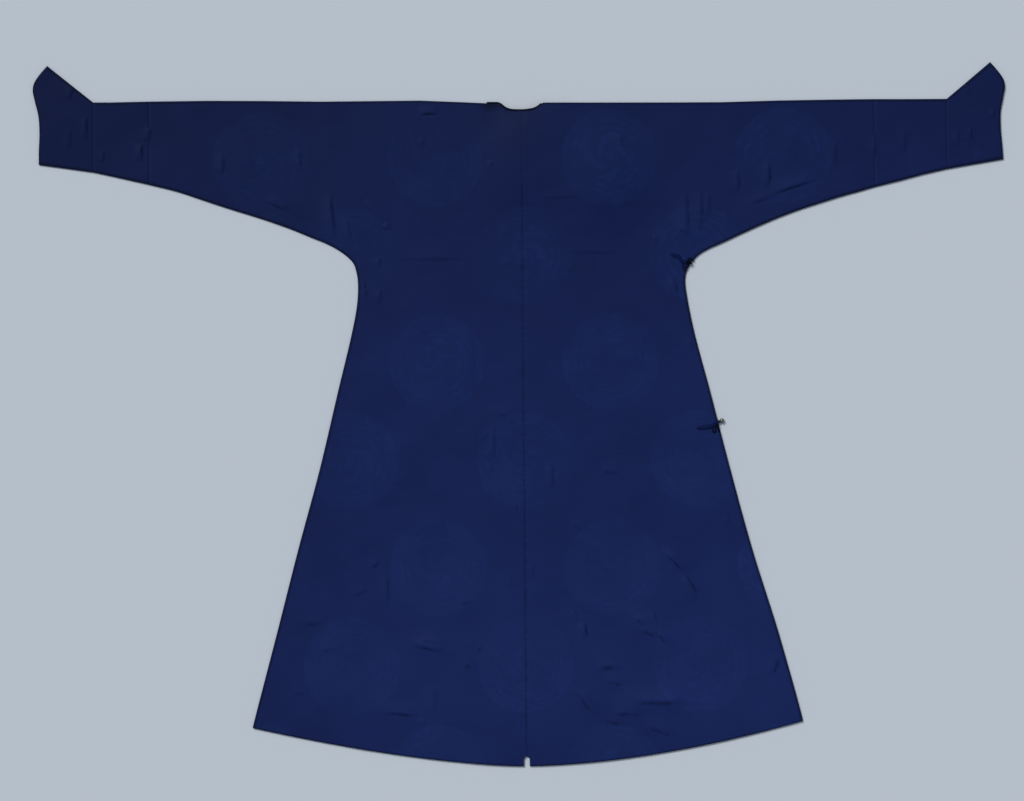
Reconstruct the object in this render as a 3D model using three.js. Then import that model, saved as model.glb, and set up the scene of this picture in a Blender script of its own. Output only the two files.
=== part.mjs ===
import * as THREE from 'three';

// An informal court robe with horse-hoof cuffs, laid flat with its back up. Millimetres.
// +X is the wearer's right, +Y runs from hem to neck, +Z is up from the surface it lies on.
// A place on the cloth is [across, down]: across from the centre seam, down from the shoulder line.
// The layers from the surface up are the outer front with its overlap, the right front under
// the overlap, and the back. Each half of the body is one wall of cloth that turns round the
// side seam, the under-sleeve seam and the shoulder fold, and is open at hem, neck and centre.

// ------------------------------------------------------------------ driving dimensions

const CLOTH = 1.2; // one layer of lined silk damask
const GAP = 0.3; // between pieces that are sewn together or lie on each other
const SEAM = GAP / 2; // from a seam line to the cloth on either side of it
const TURN_STEPS = 4; // facets round a fold

const FRONT_LEVEL = CLOTH / 2; // middle of the cloth above the surface
const UNDER_LEVEL = FRONT_LEVEL + CLOTH + GAP;
const BACK_LEVEL = UNDER_LEVEL + CLOTH + 3 * GAP;

const NOTCH = 3.5; // half the opening of the centre vents at the hem

// Lines of cloth from hem to sleeve seam. edge: where the line meets the side or under-sleeve
// seam. back and front: the inner ends on the centre, neck or shoulder fold. bend: how the line
// sweeps up towards the side, 1 for straight. steps: lines from this one up to the next.
const RIGHT_LINES = [
  { name: 'hem', edge: [553, 1242.5], back: [NOTCH, 1328.5], front: [NOTCH, 1328.5], bend: 1.75, steps: 1 },
  { name: 'notch', edge: [548, 1221], back: [0, 1305], front: [0, 1305], bend: 1.7, steps: 3 },
  { name: 'shin', edge: [504, 1060], back: [0, 1130], front: [0, 1130], bend: 1.45, steps: 3 },
  { name: 'knee', edge: [455, 900], back: [0, 950], front: [0, 950], bend: 1.25, steps: 3 },
  { name: 'thigh', edge: [412, 739], back: [0, 772], front: [0, 765], bend: 1.1, steps: 3 },
  { name: 'hip', edge: [372, 579], back: [0, 597], front: [0, 580], bend: 1, steps: 2 },
  { name: 'waist', edge: [341, 459], back: [0, 462], front: [0, 430], bend: 1, steps: 1 },
  { name: 'ribs', edge: [328.5, 395], back: [0, 385], front: [0, 335], bend: 1, steps: 1 },
  { name: 'chest', edge: [324.5, 360], back: [0, 325], front: [0, 250], bend: 1, steps: 1 },
  { name: 'side', edge: [327, 343], back: [0, 265], front: [0, 168], bend: 1, steps: 1 },
  { name: 'underarm', edge: [335, 328], back: [0, 205], front: [0, 88], bend: 1, steps: 1 },
  { name: 'armpit', edge: [350, 310.5], back: [0, 150], front: [30, 84], bend: 1, steps: 1 },
  { name: 'blade', edge: [371, 297.5], back: [0, 90], front: [52, 68], bend: 1, steps: 1 },
  { name: 'nape', edge: [395, 287], back: [0, 18.6], front: [62, 45], bend: 1, steps: 1 },
  { name: 'collar', edge: [415, 278], back: [25, 15.2], front: [58, 22], bend: 1, steps: 1 },
  { name: 'neck point', edge: [435, 268.8], back: [43.5, 1.5], front: [43.5, 1.5], bend: 1, steps: 1 },
  { name: 'shoulder', edge: [475, 251], back: [100, 1.7], front: [100, 1.7], bend: 1, steps: 1 },
  { name: 'shoulder end', edge: [515, 234.6], back: [190, 2.3], front: [190, 2.3], bend: 1, steps: 1 },
  { name: 'upper arm', edge: [555, 220], back: [290, 3], front: [290, 3], bend: 1, steps: 1 },
  { name: 'arm', edge: [595, 207.3], back: [400, 3.4], front: [400, 3.4], bend: 1, steps: 1 },
  { name: 'elbow', edge: [636, 194.8], back: [515, 1], front: [515, 1], bend: 1, steps: 1 },
  { name: 'forearm', edge: [676, 184.1], back: [620, 0], front: [620, 0], bend: 1, steps: 1 },
  { name: 'sleeve seam', edge: [706, 175.6], back: [706, -0.3], front: [706, -0.3], bend: 1, steps: 1 },
];

const LEFT_LINES = [
  { name: 'hem', edge: [548, 1247.5], back: [NOTCH, 1328.5], front: [NOTCH, 1328.5], bend: 1.55, steps: 1 },
  { name: 'notch', edge: [542, 1224], back: [0, 1305], front: [0, 1305], bend: 1.5, steps: 3 },
  { name: 'shin', edge: [496, 1052], back: [0, 1130], front: [0, 1130], bend: 1.35, steps: 3 },
  { name: 'knee', edge: [454, 892], back: [0, 950], front: [0, 950], bend: 1.2, steps: 3 },
  { name: 'thigh', edge: [410, 733], back: [0, 772], front: [0, 765], bend: 1.1, steps: 3 },
  { name: 'hip', edge: [371, 573], back: [0, 597], front: [0, 580], bend: 1, steps: 2 },
  { name: 'waist', edge: [342, 455], back: [0, 462], front: [0, 430], bend: 1, steps: 1 },
  { name: 'ribs', edge: [332, 401], back: [0, 385], front: [0, 335], bend: 1, steps: 1 },
  { name: 'chest', edge: [330, 362], back: [0, 325], front: [0, 250], bend: 1, steps: 1 },
  { name: 'side', edge: [332.3, 341], back: [0, 265], front: [0, 168], bend: 1, steps: 1 },
  { name: 'underarm', edge: [338.5, 321], back: [0, 205], front: [0, 88], bend: 1, steps: 1 },
  { name: 'armpit', edge: [353, 305], back: [0, 150], front: [35, 84], bend: 1, steps: 1 },
  { name: 'blade', edge: [376, 289], back: [0, 90], front: [60, 66], bend: 1, steps: 1 },
  { name: 'nape', edge: [400, 277], back: [0, 18.6], front: [78, 42], bend: 1, steps: 1 },
  { name: 'collar', edge: [420, 269], back: [26, 16.6], front: [82, 22], bend: 1, steps: 1 },
  { name: 'lip', edge: [436, 262.2], back: [39, 9.8], front: [79, 9], bend: 1, steps: 1 },
  { name: 'lip end', edge: [447, 257.5], back: [49, 4.2], front: [77, 6], bend: 1, steps: 1 },
  { name: 'neck point', edge: [458, 252.9], back: [73, 1.6], front: [73, 1.6], bend: 1, steps: 1 },
  { name: 'shoulder', edge: [482, 243.8], back: [120, -0.8], front: [120, -0.8], bend: 1, steps: 1 },
  { name: 'shoulder end', edge: [515, 232], back: [203, -4.7], front: [203, -4.7], bend: 1, steps: 1 },
  { name: 'upper arm', edge: [552, 220], back: [300, -4.4], front: [300, -4.4], bend: 1, steps: 1 },
  { name: 'arm', edge: [592, 207.3], back: [400, -4.2], front: [400, -4.2], bend: 1, steps: 1 },
  { name: 'elbow', edge: [636, 192.4], back: [515, -6.4], front: [515, -6.4], bend: 1, steps: 1 },
  { name: 'forearm', edge: [690, 174], back: [630, -7.7], front: [630, -7.7], bend: 1, steps: 1 },
  { name: 'sleeve seam', edge: [745.5, 159.6], back: [745.5, -7.1], front: [745.5, -7.1], bend: 1, steps: 1 },
];

const BODY_COLUMNS = { back: 12, leftFront: 7, rightFront: 10 };
const TOP_EDGE_BOW = 30; // rise of the overlap's top edge above a straight line
const BOW_ROWS = 4; // rows over which the front's lines straighten out again
const STEP_DOWN_ROWS = 2; // rows over which the right front comes down beyond the overlap

// Lower sleeves, from sleeve seam to cuff seam: the fold on top and the seam below.
const RIGHT_SLEEVE = [
  { top: [706, -0.3], bottom: [706, 175.6] },
  { top: [757, 0.2], bottom: [756, 163.4] },
  { top: [803, 0.4], bottom: [802, 151.3] },
  { top: [851, 0.5], bottom: [851, 140.8] },
];
const LEFT_SLEEVE = [
  { top: [745.5, -7.1], bottom: [745.5, 159.6] },
  { top: [784, -6.6], bottom: [784, 150.6] },
  { top: [820, -6], bottom: [820, 142.3] },
  { top: [857, -6.2], bottom: [857, 134] },
];

// Horse-hoof cuffs: the mouth from the hoof's tip on top to the under-sleeve corner.
const RIGHT_MOUTH = [
  [938, -72.3], [951, -57], [963.5, -38], [966, -24], [962, 0], [957.5, 26],
  [957.5, 62], [960.5, 96], [962.5, 122.5],
];
const LEFT_MOUTH = [
  [948, -79.8], [961, -65], [973, -47], [976.3, -32], [972.5, -10], [965.5, 22],
  [964, 54], [966, 96], [966.3, 118],
];
const CUFF_STEPS = 5;
const CUFF_COLUMNS = 8;
const SLEEVE_COLUMNS = 5;

// Broad creases left in the back by folding: x and down of the middle, degrees from +X.
const CREASES = [
  { x: 308, down: 948, length: 150, angle: -53, width: 60, height: 3 },
  { x: 252, down: 1062, length: 110, angle: -40, width: 56, height: 2.6 },
  { x: 257, down: 1196, length: 150, angle: 0, width: 56, height: 3 },
  { x: 137, down: 1200, length: 110, angle: -42, width: 52, height: 2.4 },
  { x: -196, down: 1088, length: 100, angle: -22, width: 56, height: 2.6 },
];

const CREASE_FALL = 1.4; // how fast a crease dies away towards its length and width

// The cloth rises over the two ball buttons that lie between it and the surface.
const RISE = { height: 10.8, flat: 22, reach: 150 };

// Neck binding, a rounded band, pressed flatter under the back. Its path runs round the back of
// the neck, with the lip that shows beyond it on the left, and its other path round the front of
// the neck. Each stop is [x, down].
const BACK_BINDING = { width: 3.2, height: 2.6, level: 4.35, steps: 26 };
const FRONT_BINDING = { width: 3.2, height: 1.8, level: 1.05, steps: 32 };
const BACK_NECK = [
  [40.3, 3.6], [33, 8], [25, 12.2], [9, 14.7], [-7, 15.9], [-23, 14.8], [-31, 11.9], [-37.5, 7.7],
  [-42.5, 3.8], [-48, 1.9], [-56, 1.6], [-69.8, 1.6],
];
const FRONT_NECK = [
  [40.4, 7.6], [48, 15.8], [54.4, 24], [57.9, 44.4], [48.8, 65], [28.2, 80], [0, 84.4],
  [-33, 80], [-57, 63.2], [-74.4, 40.8], [-78.8, 22], [-76.2, 10.4], [-72, 7.8],
];

// Closures: ball buttons held by cord loops. x and down: the place on the cloth's edge. aim:
// degrees from +X of the way out of the cloth. run: the cord tab's path from its sewn end, as
// [back, left] from that place, where back is against the aim.
const BALL_RADIUS = 4.5;
const BALL_SIDES = 12;
const BALL_RINGS = 8;
const BALL_LIFT = 0.1; // the lowest ball's height above the surface
const SHANK_RADIUS = 0.8;
const CORD_RADIUS = 0.9;
const TAB = { width: 7.2, height: 2.2, pinch: 0.35, steps: 6 };
const FLAT_CORNERS = 12;
const ROUND_CORNERS = 8;
const PINCH_SHARE = 0.3; // of a flat section's half width that the pinch takes
const SIDE_CLOSURE = {
  name: 'side', x: 388.4, down: 642.5, aim: 14.7, run: [[44, 1.2], [22, -0.4], [2, 0]],
};
const SIDE_LOOP = { foot: 0.9, reach: 2.1, spread: 2.4, shoulder: 0.75, rounding: 0.8, rise: 2, steps: 14 };

// The underarm closure ends in a corded knot that lies on the cloth, a little in from the edge.
// Its loop comes up round the edge. Each stop of the loop is [ahead, left, height].
const UNDERARM_CLOSURE = {
  name: 'underarm', x: 335.5, down: 320.6, aim: 3, run: [[41, 16.5], [17, -1.5], [8.4, -0.4]], knotIn: 2.5,
};
const UNDERARM_LOOP = [
  [6.6, -1.6, 1.1], [7, -1.3, 4], [5.5, 0.6, 6.7], [1.7, 4.2, 7], [-2.5, 5.8, 7.3], [-7.4, 3.2, 8.3],
  [-9, 0, 8.9], [-7.4, -3.2, 8.3], [-2.5, -5.9, 7.2], [1.4, -6.1, 6.9], [3.2, -5.6, 4], [3.1, -5.4, 1.1],
];
const UNDERARM_LOOP_STEPS = 24;

// Two closures lie between the robe and the surface, on the overlap's top edge.
const HIDDEN_ALONG_TOP_EDGE = [
  { name: 'neck', along: 0.1, aim: 40 },
  { name: 'breast', along: 0.42, aim: 62 },
];
const HIDDEN_LOOP = { foot: 0.5, middle: 3.6, spread: 2.9, shoulder: 0.72, steps: 14 };
const HIDDEN_TAB = { length: 22, below: 1.2, drop: 2.4 };

const SILK = { color: 0x18234d, roughness: 0.55, metalness: 0 };
const CORD = { color: 0x06080f, roughness: 0.6, metalness: 0 };
const BRASS = { color: 0x8a7a4e, roughness: 0.3, metalness: 1 };

// ------------------------------------------------------------------ form of the laid cloth

const { lerp, degToRad, clamp } = THREE.MathUtils;

/** A point of the cloth in the plane, from [across, down] on one side of the centre seam. */
function place([across, down], side) {
  return new THREE.Vector2(side * across, -down);
}

/** The overlap's top edge as a line of cloth, from the centre to the underarm. */
function topEdgePoint(t) {
  const row = RIGHT_LINES.find((entry) => entry.name === 'underarm');
  const line = { edge: place(row.edge, 1), out: new THREE.Vector2(), bend: 1, closed: false };
  return panelPoint(line, place(row.front, 1), t, TOP_EDGE_BOW, 0);
}

const HIDDEN_CLOSURES = HIDDEN_ALONG_TOP_EDGE.map((entry) => ({ ...entry, spot: topEdgePoint(entry.along) }));

/** 1 near a button under the cloth, falling smoothly to 0 at the rise's reach. */
function nearness(point, button) {
  const beyond = (point.distanceTo(button) - RISE.flat) / (RISE.reach - RISE.flat);
  return (1 + Math.cos(Math.PI * clamp(beyond, 0, 1))) / 2;
}

/** How far the layers are lifted at a point by the buttons under them. */
function rise(point) {
  const left = HIDDEN_CLOSURES.reduce((rest, closure) => rest * (1 - nearness(point, closure.spot)), 1);
  return RISE.height * (1 - left);
}

/** Height of the creases in the back at a point. */
function creases(point) {
  return CREASES.reduce((sum, crease) => {
    const turn = -degToRad(crease.angle);
    const away = point.clone().sub(new THREE.Vector2(crease.x, -crease.down));
    away.rotateAround(new THREE.Vector2(), turn);
    const along = away.x / (crease.length / 2);
    const over = away.y / (crease.width / 2);
    return sum + crease.height * Math.exp(-CREASE_FALL * (along ** 4 + over ** 2));
  }, 0);
}

/** A line across one panel, from its inner end to its edge, with both ends held in for folds. */
function panelPoint(line, inner, t, bow, reach) {
  const point = new THREE.Vector2(
    lerp(inner.x, line.edge.x, t),
    lerp(inner.y, line.edge.y, t ** line.bend) + bow * Math.sin(Math.PI * t),
  );
  point.addScaledVector(line.out, -reach * t);
  if (line.closed) point.addScaledVector(line.foldOut, -reach * (1 - t));
  return point;
}

/** Points round a fold, from one level to the other, its ends left out. */
function turnPoints(hold, out, fromLevel, toLevel) {
  const radius = Math.abs(toLevel - fromLevel) / 2;
  const points = [];
  for (let k = 1; k < TURN_STEPS; k += 1) {
    const angle = (Math.PI * k) / TURN_STEPS;
    const spot = hold.clone().addScaledVector(out, radius * Math.sin(angle));
    const level = lerp(fromLevel, toLevel, (1 - Math.cos(angle)) / 2);
    points.push(new THREE.Vector3(spot.x, spot.y, level + rise(hold)));
  }
  return points;
}

/** One line of cloth: over the back, round the edge and under the front, and round the fold. */
function clothLine(line, columns) {
  const reach = (BACK_LEVEL - line.level) / 2 + CLOTH / 2;
  const points = [];
  for (let j = 0; j <= columns.back; j += 1) {
    const spot = panelPoint(line, line.back, j / columns.back, 0, reach);
    points.push(new THREE.Vector3(spot.x, spot.y, BACK_LEVEL + creases(spot) + rise(spot)));
  }
  const edgeHold = panelPoint(line, line.back, 1, 0, reach);
  points.push(...turnPoints(edgeHold, line.out, BACK_LEVEL, line.level));
  for (let j = columns.front; j >= 0; j -= 1) {
    const spot = panelPoint(line, line.front, j / columns.front, line.bow, reach);
    points.push(new THREE.Vector3(spot.x, spot.y, line.level + rise(spot)));
  }
  if (line.closed) {
    const foldHold = panelPoint(line, line.back, 0, 0, reach);
    points.push(...turnPoints(foldHold, line.foldOut, line.level, BACK_LEVEL));
  }
  return { points, closed: line.closed };
}

/** Every line of one half of the body, from its table. */
function bodyLines(table, side, levelOf) {
  const edges = table.map((row) => {
    const spot = place(row.edge, side);
    return new THREE.Vector3(spot.x, spot.y, 0);
  });
  const curve = new THREE.CatmullRomCurve3(edges, false, 'centripetal');
  const last = table.length - 1;
  const neckPoint = table.findIndex((row) => row.name === 'neck point');
  const lines = [];
  table.forEach((row, i) => {
    const steps = i === last ? 1 : row.steps;
    const next = table[Math.min(i + 1, last)];
    for (let k = 0; k < steps; k += 1) {
      const share = k / steps;
      const spot = curve.getPoint((i + share) / last);
      const tangent = curve.getTangent((i + share) / last);
      const atSeam = i === last;
      const seam = new THREE.Vector2(atSeam ? side * SEAM : 0, 0);
      const sideways = new THREE.Vector2(tangent.y, -tangent.x).multiplyScalar(side);
      const inner = (name) => {
        const across = Math.max(SEAM, lerp(row[name][0], next[name][0], share));
        return place([across, lerp(row[name][1], next[name][1], share)], side).sub(seam);
      };
      lines.push({
        edge: new THREE.Vector2(spot.x, spot.y).sub(seam),
        out: atSeam ? new THREE.Vector2(0, -1) : sideways,
        back: inner('back'),
        front: inner('front'),
        foldOut: new THREE.Vector2(0, 1),
        bend: lerp(row.bend, next.bend, share),
        bow: TOP_EDGE_BOW * bowShare(i + share, table),
        closed: i >= neckPoint,
        level: levelOf(i + share, table),
      });
    }
  });
  return lines;
}

/** The front lines bow up towards the overlap's top edge, which is the underarm line. */
function bowShare(row, table) {
  const top = table.findIndex((entry) => entry.name === 'underarm');
  return Math.max(0, 1 - Math.abs(row - top) / BOW_ROWS);
}

/** The right front lies on the overlap up to the underarm line, then comes down to the surface. */
function underLevel(row, table) {
  const top = table.findIndex((entry) => entry.name === 'underarm');
  return lerp(UNDER_LEVEL, FRONT_LEVEL, clamp((row - top) / STEP_DOWN_ROWS, 0, 1));
}

// ------------------------------------------------------------------ solids from lines of cloth

/** A quad sheet over the lines, as points and corner lists, closed where both lines are. */
function sheetOf(lines) {
  const starts = [];
  const points = [];
  lines.forEach((line) => {
    starts.push(points.length);
    points.push(...line.points);
  });
  const quads = [];
  for (let i = 0; i + 1 < lines.length; i += 1) {
    const [low, high] = [lines[i], lines[i + 1]];
    const wrapped = low.closed && high.closed;
    const count = wrapped ? low.points.length : Math.min(low.points.length, high.points.length) - 1;
    for (let j = 0; j < count; j += 1) {
      const next = wrapped ? (j + 1) % low.points.length : j + 1;
      quads.push([starts[i] + j, starts[i] + next, starts[i + 1] + next, starts[i + 1] + j]);
    }
  }
  return { points, quads };
}

/** Normals of a sheet's points, from the quads round each. */
function sheetNormals({ points, quads }) {
  const normals = points.map(() => new THREE.Vector3());
  quads.forEach(([a, b, c, d]) => {
    const across = points[c].clone().sub(points[a]);
    const along = points[d].clone().sub(points[b]);
    const normal = across.cross(along);
    [a, b, c, d].forEach((corner) => normals[corner].add(normal));
  });
  return normals.map((normal) => normal.normalize());
}

/** A closed wall of the given thickness about a sheet. */
function wallGeometry(sheet, thickness) {
  const { points, quads } = sheet;
  const normals = sheetNormals(sheet);
  const count = points.length;
  const positions = [];
  [thickness / 2, -thickness / 2].forEach((shift) => {
    points.forEach((point, i) => {
      const moved = point.clone().addScaledVector(normals[i], shift);
      positions.push(...moved.toArray());
    });
  });
  const index = [];
  const borders = new Map();
  quads.forEach(([a, b, c, d]) => {
    index.push(a, b, c, a, c, d);
    index.push(a + count, c + count, b + count, a + count, d + count, c + count);
    [[a, b], [b, c], [c, d], [d, a]].forEach(([from, to]) => {
      if (!borders.delete(`${to} ${from}`)) borders.set(`${from} ${to}`, [from, to]);
    });
  });
  borders.forEach(([from, to]) => {
    index.push(to, from, from + count, to, from + count, to + count);
  });
  const geometry = new THREE.BufferGeometry();
  geometry.setAttribute('position', new THREE.Float32BufferAttribute(positions, 3));
  geometry.setIndex(index);
  geometry.computeVertexNormals();
  return geometry;
}

function clothMesh(name, lines, columns) {
  const sheet = sheetOf(lines.map((line) => clothLine(line, columns)));
  return meshOf(name, wallGeometry(sheet, CLOTH), SILK);
}

function meshOf(name, geometry, finish) {
  const mesh = new THREE.Mesh(geometry, new THREE.MeshStandardMaterial(finish));
  mesh.name = name;
  return mesh;
}

/** The overlap: the outer right front, on the lines of the front it covers. */
function overlapMesh(lines) {
  const top = RIGHT_LINES.findIndex((row) => row.name === 'underarm');
  const covered = RIGHT_LINES.slice(0, top).reduce((sum, row) => sum + row.steps, 0);
  const columns = BODY_COLUMNS.rightFront;
  const reach = (BACK_LEVEL - UNDER_LEVEL) / 2 + CLOTH / 2;
  const rows = lines.slice(0, covered + 1).map((line) => {
    const points = [];
    for (let j = columns; j >= 0; j -= 1) {
      const spot = panelPoint(line, line.front, j / columns, line.bow, reach);
      points.push(new THREE.Vector3(spot.x, spot.y, FRONT_LEVEL + rise(spot)));
    }
    return { points, closed: false };
  });
  return meshOf('front_overlap', wallGeometry(sheetOf(rows), CLOTH), SILK);
}

/** A lower sleeve: a flattened tube between the sleeve seam and the cuff seam. */
function sleeveMesh(name, table, side) {
  const last = table.length - 1;
  const lines = table.map((row, i) => {
    const inset = side * ((i === 0 ? SEAM : 0) - (i === last ? SEAM : 0));
    const top = place(row.top, side).add(new THREE.Vector2(inset, 0));
    return {
      edge: place(row.bottom, side).add(new THREE.Vector2(inset, 0)),
      out: new THREE.Vector2(0, -1),
      back: top,
      front: top,
      foldOut: new THREE.Vector2(0, 1),
      bend: 1,
      bow: 0,
      closed: true,
      level: FRONT_LEVEL,
    };
  });
  return clothMesh(name, lines, { back: SLEEVE_COLUMNS, front: SLEEVE_COLUMNS });
}

/** A horse-hoof cuff: a flattened tube that flares from the cuff seam to the hoof's mouth. */
function cuffMesh(name, sleeve, mouthTable, side) {
  const seamRow = sleeve[sleeve.length - 1];
  const seam = new THREE.Vector2(side * GAP, 0);
  const seamTop = place(seamRow.top, side).add(seam);
  const seamBottom = place(seamRow.bottom, side).add(seam);
  const mouthSpots = mouthTable.map((row) => place(row, side));
  const mouth = new THREE.SplineCurve(mouthSpots);
  const ridge = mouthSpots[0].clone().sub(seamTop).normalize();
  const ridgeOut = new THREE.Vector2(-side * ridge.y, side * ridge.x);
  const reach = (BACK_LEVEL - FRONT_LEVEL) / 2 + CLOTH / 2;
  const lines = [];
  for (let i = 0; i <= CUFF_STEPS; i += 1) {
    const share = i / CUFF_STEPS;
    const foldOut = new THREE.Vector2(0, 1).lerp(ridgeOut, Math.min(1, share * 2)).normalize();
    const out = new THREE.Vector2(0, -1);
    const spotAt = (t) => {
      const spot = seamTop.clone().lerp(seamBottom, t).lerp(mouth.getPointAt(t), share);
      return spot.addScaledVector(out, -reach * t).addScaledVector(foldOut, -reach * (1 - t));
    };
    const points = [];
    for (let j = 0; j <= CUFF_COLUMNS; j += 1) {
      const spot = spotAt(j / CUFF_COLUMNS);
      points.push(new THREE.Vector3(spot.x, spot.y, BACK_LEVEL));
    }
    points.push(...turnPoints(spotAt(1), out, BACK_LEVEL, FRONT_LEVEL));
    for (let j = CUFF_COLUMNS; j >= 0; j -= 1) {
      const spot = spotAt(j / CUFF_COLUMNS);
      points.push(new THREE.Vector3(spot.x, spot.y, FRONT_LEVEL));
    }
    points.push(...turnPoints(spotAt(0), foldOut, FRONT_LEVEL, BACK_LEVEL));
    lines.push({ points, closed: true });
  }
  return meshOf(name, wallGeometry(sheetOf(lines), CLOTH), SILK);
}

// ------------------------------------------------------------------ binding and closures

/** A closed section from a function of the angle round it. */
function sectionOf(corners, cornerAt) {
  const spots = [];
  for (let k = 0; k < corners; k += 1) {
    const angle = (2 * Math.PI * (k + 0.5)) / corners;
    spots.push(new THREE.Vector2(...cornerAt(angle)));
  }
  return new THREE.Shape(spots);
}

/** A flat section, round at its ends, pinched at its middle where two cords lie side by side. */
function flatSection(width, height, pinch) {
  return sectionOf(FLAT_CORNERS, (angle) => {
    const waist = 1 - pinch * Math.exp(-((Math.cos(angle) / PINCH_SHARE) ** 2));
    return [(height / 2) * Math.sin(angle) * waist, (width / 2) * Math.cos(angle)];
  });
}

/** A round section for a cord. */
function roundSection(radius) {
  return sectionOf(ROUND_CORNERS, (angle) => [radius * Math.cos(angle), radius * Math.sin(angle)]);
}

/** A band or cord of one section along a smooth path. */
function bandMesh(name, stops, section, steps, finish) {
  const extrudePath = new THREE.CatmullRomCurve3(stops, false, 'centripetal');
  const geometry = new THREE.ExtrudeGeometry(section, { steps, extrudePath, bevelEnabled: false });
  return meshOf(name, geometry, finish);
}

/** A stretch of the neck binding, lifted with the cloth beside it. */
function bindingMesh(name, stops, { width, height, level, steps }) {
  const path = stops.map(([x, down]) => {
    const spot = new THREE.Vector2(x, -down);
    return new THREE.Vector3(spot.x, spot.y, level + rise(spot));
  });
  return bandMesh(name, path, flatSection(width, height, 0), steps, CORD);
}

/** A ball button with its shank, from the ball's middle to the shank's end. */
function buttonMesh(name, middle, shankEnd, finish) {
  const axis = shankEnd.clone().sub(middle);
  const profile = [new THREE.Vector2(0, -BALL_RADIUS)];
  const lastAngle = Math.acos(SHANK_RADIUS / BALL_RADIUS);
  for (let k = 1; k <= BALL_RINGS; k += 1) {
    const angle = lerp(-Math.PI / 2, lastAngle, k / BALL_RINGS);
    profile.push(new THREE.Vector2(BALL_RADIUS * Math.cos(angle), BALL_RADIUS * Math.sin(angle)));
  }
  profile.push(new THREE.Vector2(SHANK_RADIUS, axis.length()), new THREE.Vector2(0, axis.length()));
  const mesh = meshOf(name, new THREE.LatheGeometry(profile, BALL_SIDES), finish);
  mesh.quaternion.setFromUnitVectors(new THREE.Vector3(0, 1, 0), axis.normalize());
  mesh.position.copy(middle);
  return mesh;
}

/** A round cord along a smooth path. */
function cordMesh(name, stops, steps) {
  return bandMesh(name, stops, roundSection(CORD_RADIUS), steps, CORD);
}

/** A flat tab of doubled cord, sewn along a path on the cloth. */
function tabMesh(name, stops) {
  return bandMesh(name, stops, flatSection(TAB.width, TAB.height, TAB.pinch), TAB.steps, CORD);
}

/** A closure's own frame: out along its aim, left of the aim, and up. */
function closureFrame(x, y, aim) {
  const out = new THREE.Vector3(Math.cos(degToRad(aim)), Math.sin(degToRad(aim)), 0);
  const left = new THREE.Vector3(-out.y, out.x, 0);
  return (ahead, aside, level) => new THREE.Vector3(x, y, level)
    .addScaledVector(out, ahead)
    .addScaledVector(left, aside);
}

const TAB_LEVEL = BACK_LEVEL + CLOTH / 2 + GAP + TAB.height / 2;

/** The side closure: tab on the back, loop from the overlap's edge, ball just off the edge. */
function sideClosure({ name, x, down, aim, run }) {
  const at = closureFrame(x, -down, aim);
  const { foot, reach, spread, shoulder, rounding, rise: upright, steps } = SIDE_LOOP;
  const top = TAB_LEVEL + spread;
  const half = [
    [foot, 1, CORD_RADIUS + BALL_LIFT],
    [reach, 1, TAB_LEVEL - upright],
    [reach, shoulder, top - rounding],
  ];
  const loop = [
    ...half.map(([ahead, share, level]) => at(ahead, -spread * share, level)),
    at(reach, 0, top),
    ...half.toReversed().map(([ahead, share, level]) => at(ahead, spread * share, level)),
  ];
  const ballMiddle = at(reach + CORD_RADIUS + GAP + BALL_RADIUS, 0, BALL_RADIUS + BALL_LIFT);
  const [tabEnd] = run[run.length - 1];
  return [
    tabMesh(`${name}_tab`, run.map(([back, aside]) => at(-back, aside, TAB_LEVEL))),
    cordMesh(`${name}_loop`, loop, steps),
    buttonMesh(`${name}_button`, ballMiddle, at(GAP - tabEnd, 0, TAB_LEVEL), BRASS),
  ];
}

/** The underarm closure: the tab bends to a corded knot that lies on the edge of the cloth. */
function underarmClosure({ name, x, down, aim, run, knotIn }) {
  const at = closureFrame(x, -down, aim);
  const knotMiddle = at(-knotIn, 0, BACK_LEVEL + CLOTH / 2 + GAP + BALL_RADIUS);
  const [tabEnd] = run[run.length - 1];
  const loop = UNDERARM_LOOP.map((stop) => at(...stop));
  return [
    tabMesh(`${name}_tab`, run.map(([back, aside]) => at(-back, aside, TAB_LEVEL))),
    cordMesh(`${name}_loop`, loop, UNDERARM_LOOP_STEPS),
    buttonMesh(`${name}_button`, knotMiddle, at(2 * GAP - tabEnd, 0, TAB_LEVEL), CORD),
  ];
}

/** A closure between the robe and the surface: the ball hangs through its loop under the cloth. */
function hiddenClosure({ name, spot, aim }) {
  const at = closureFrame(spot.x, spot.y, aim);
  const lift = rise(spot);
  const { foot, middle, spread, shoulder, steps } = HIDDEN_LOOP;
  const loopLevel = lift - GAP - CORD_RADIUS;
  const half = [
    [foot, 1],
    [middle * shoulder, 1],
    [middle + spread * shoulder, shoulder],
  ];
  const loop = [
    ...half.map(([ahead, share]) => at(ahead, -spread * share, loopLevel)),
    at(middle + spread, 0, loopLevel),
    ...half.toReversed().map(([ahead, share]) => at(ahead, spread * share, loopLevel)),
  ];
  const tabStart = middle + spread + CORD_RADIUS + GAP;
  const tabLevel = lift + UNDER_LEVEL - CLOTH / 2 - TAB.height / 2 - HIDDEN_TAB.below;
  const tab = [0, 0.5, 1].map((share) => at(
    tabStart + HIDDEN_TAB.length * share,
    0,
    tabLevel - HIDDEN_TAB.drop * share,
  ));
  const shankEnd = at(middle, 0, lift + CLOTH / 2);
  return [
    tabMesh(`${name}_tab`, tab),
    cordMesh(`${name}_loop`, loop, steps),
    buttonMesh(`${name}_button`, at(middle, 0, BALL_RADIUS + BALL_LIFT), shankEnd, BRASS),
  ];
}

// ------------------------------------------------------------------ the robe

const rightLines = bodyLines(RIGHT_LINES, 1, underLevel);
const leftLines = bodyLines(LEFT_LINES, -1, () => FRONT_LEVEL);

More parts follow.
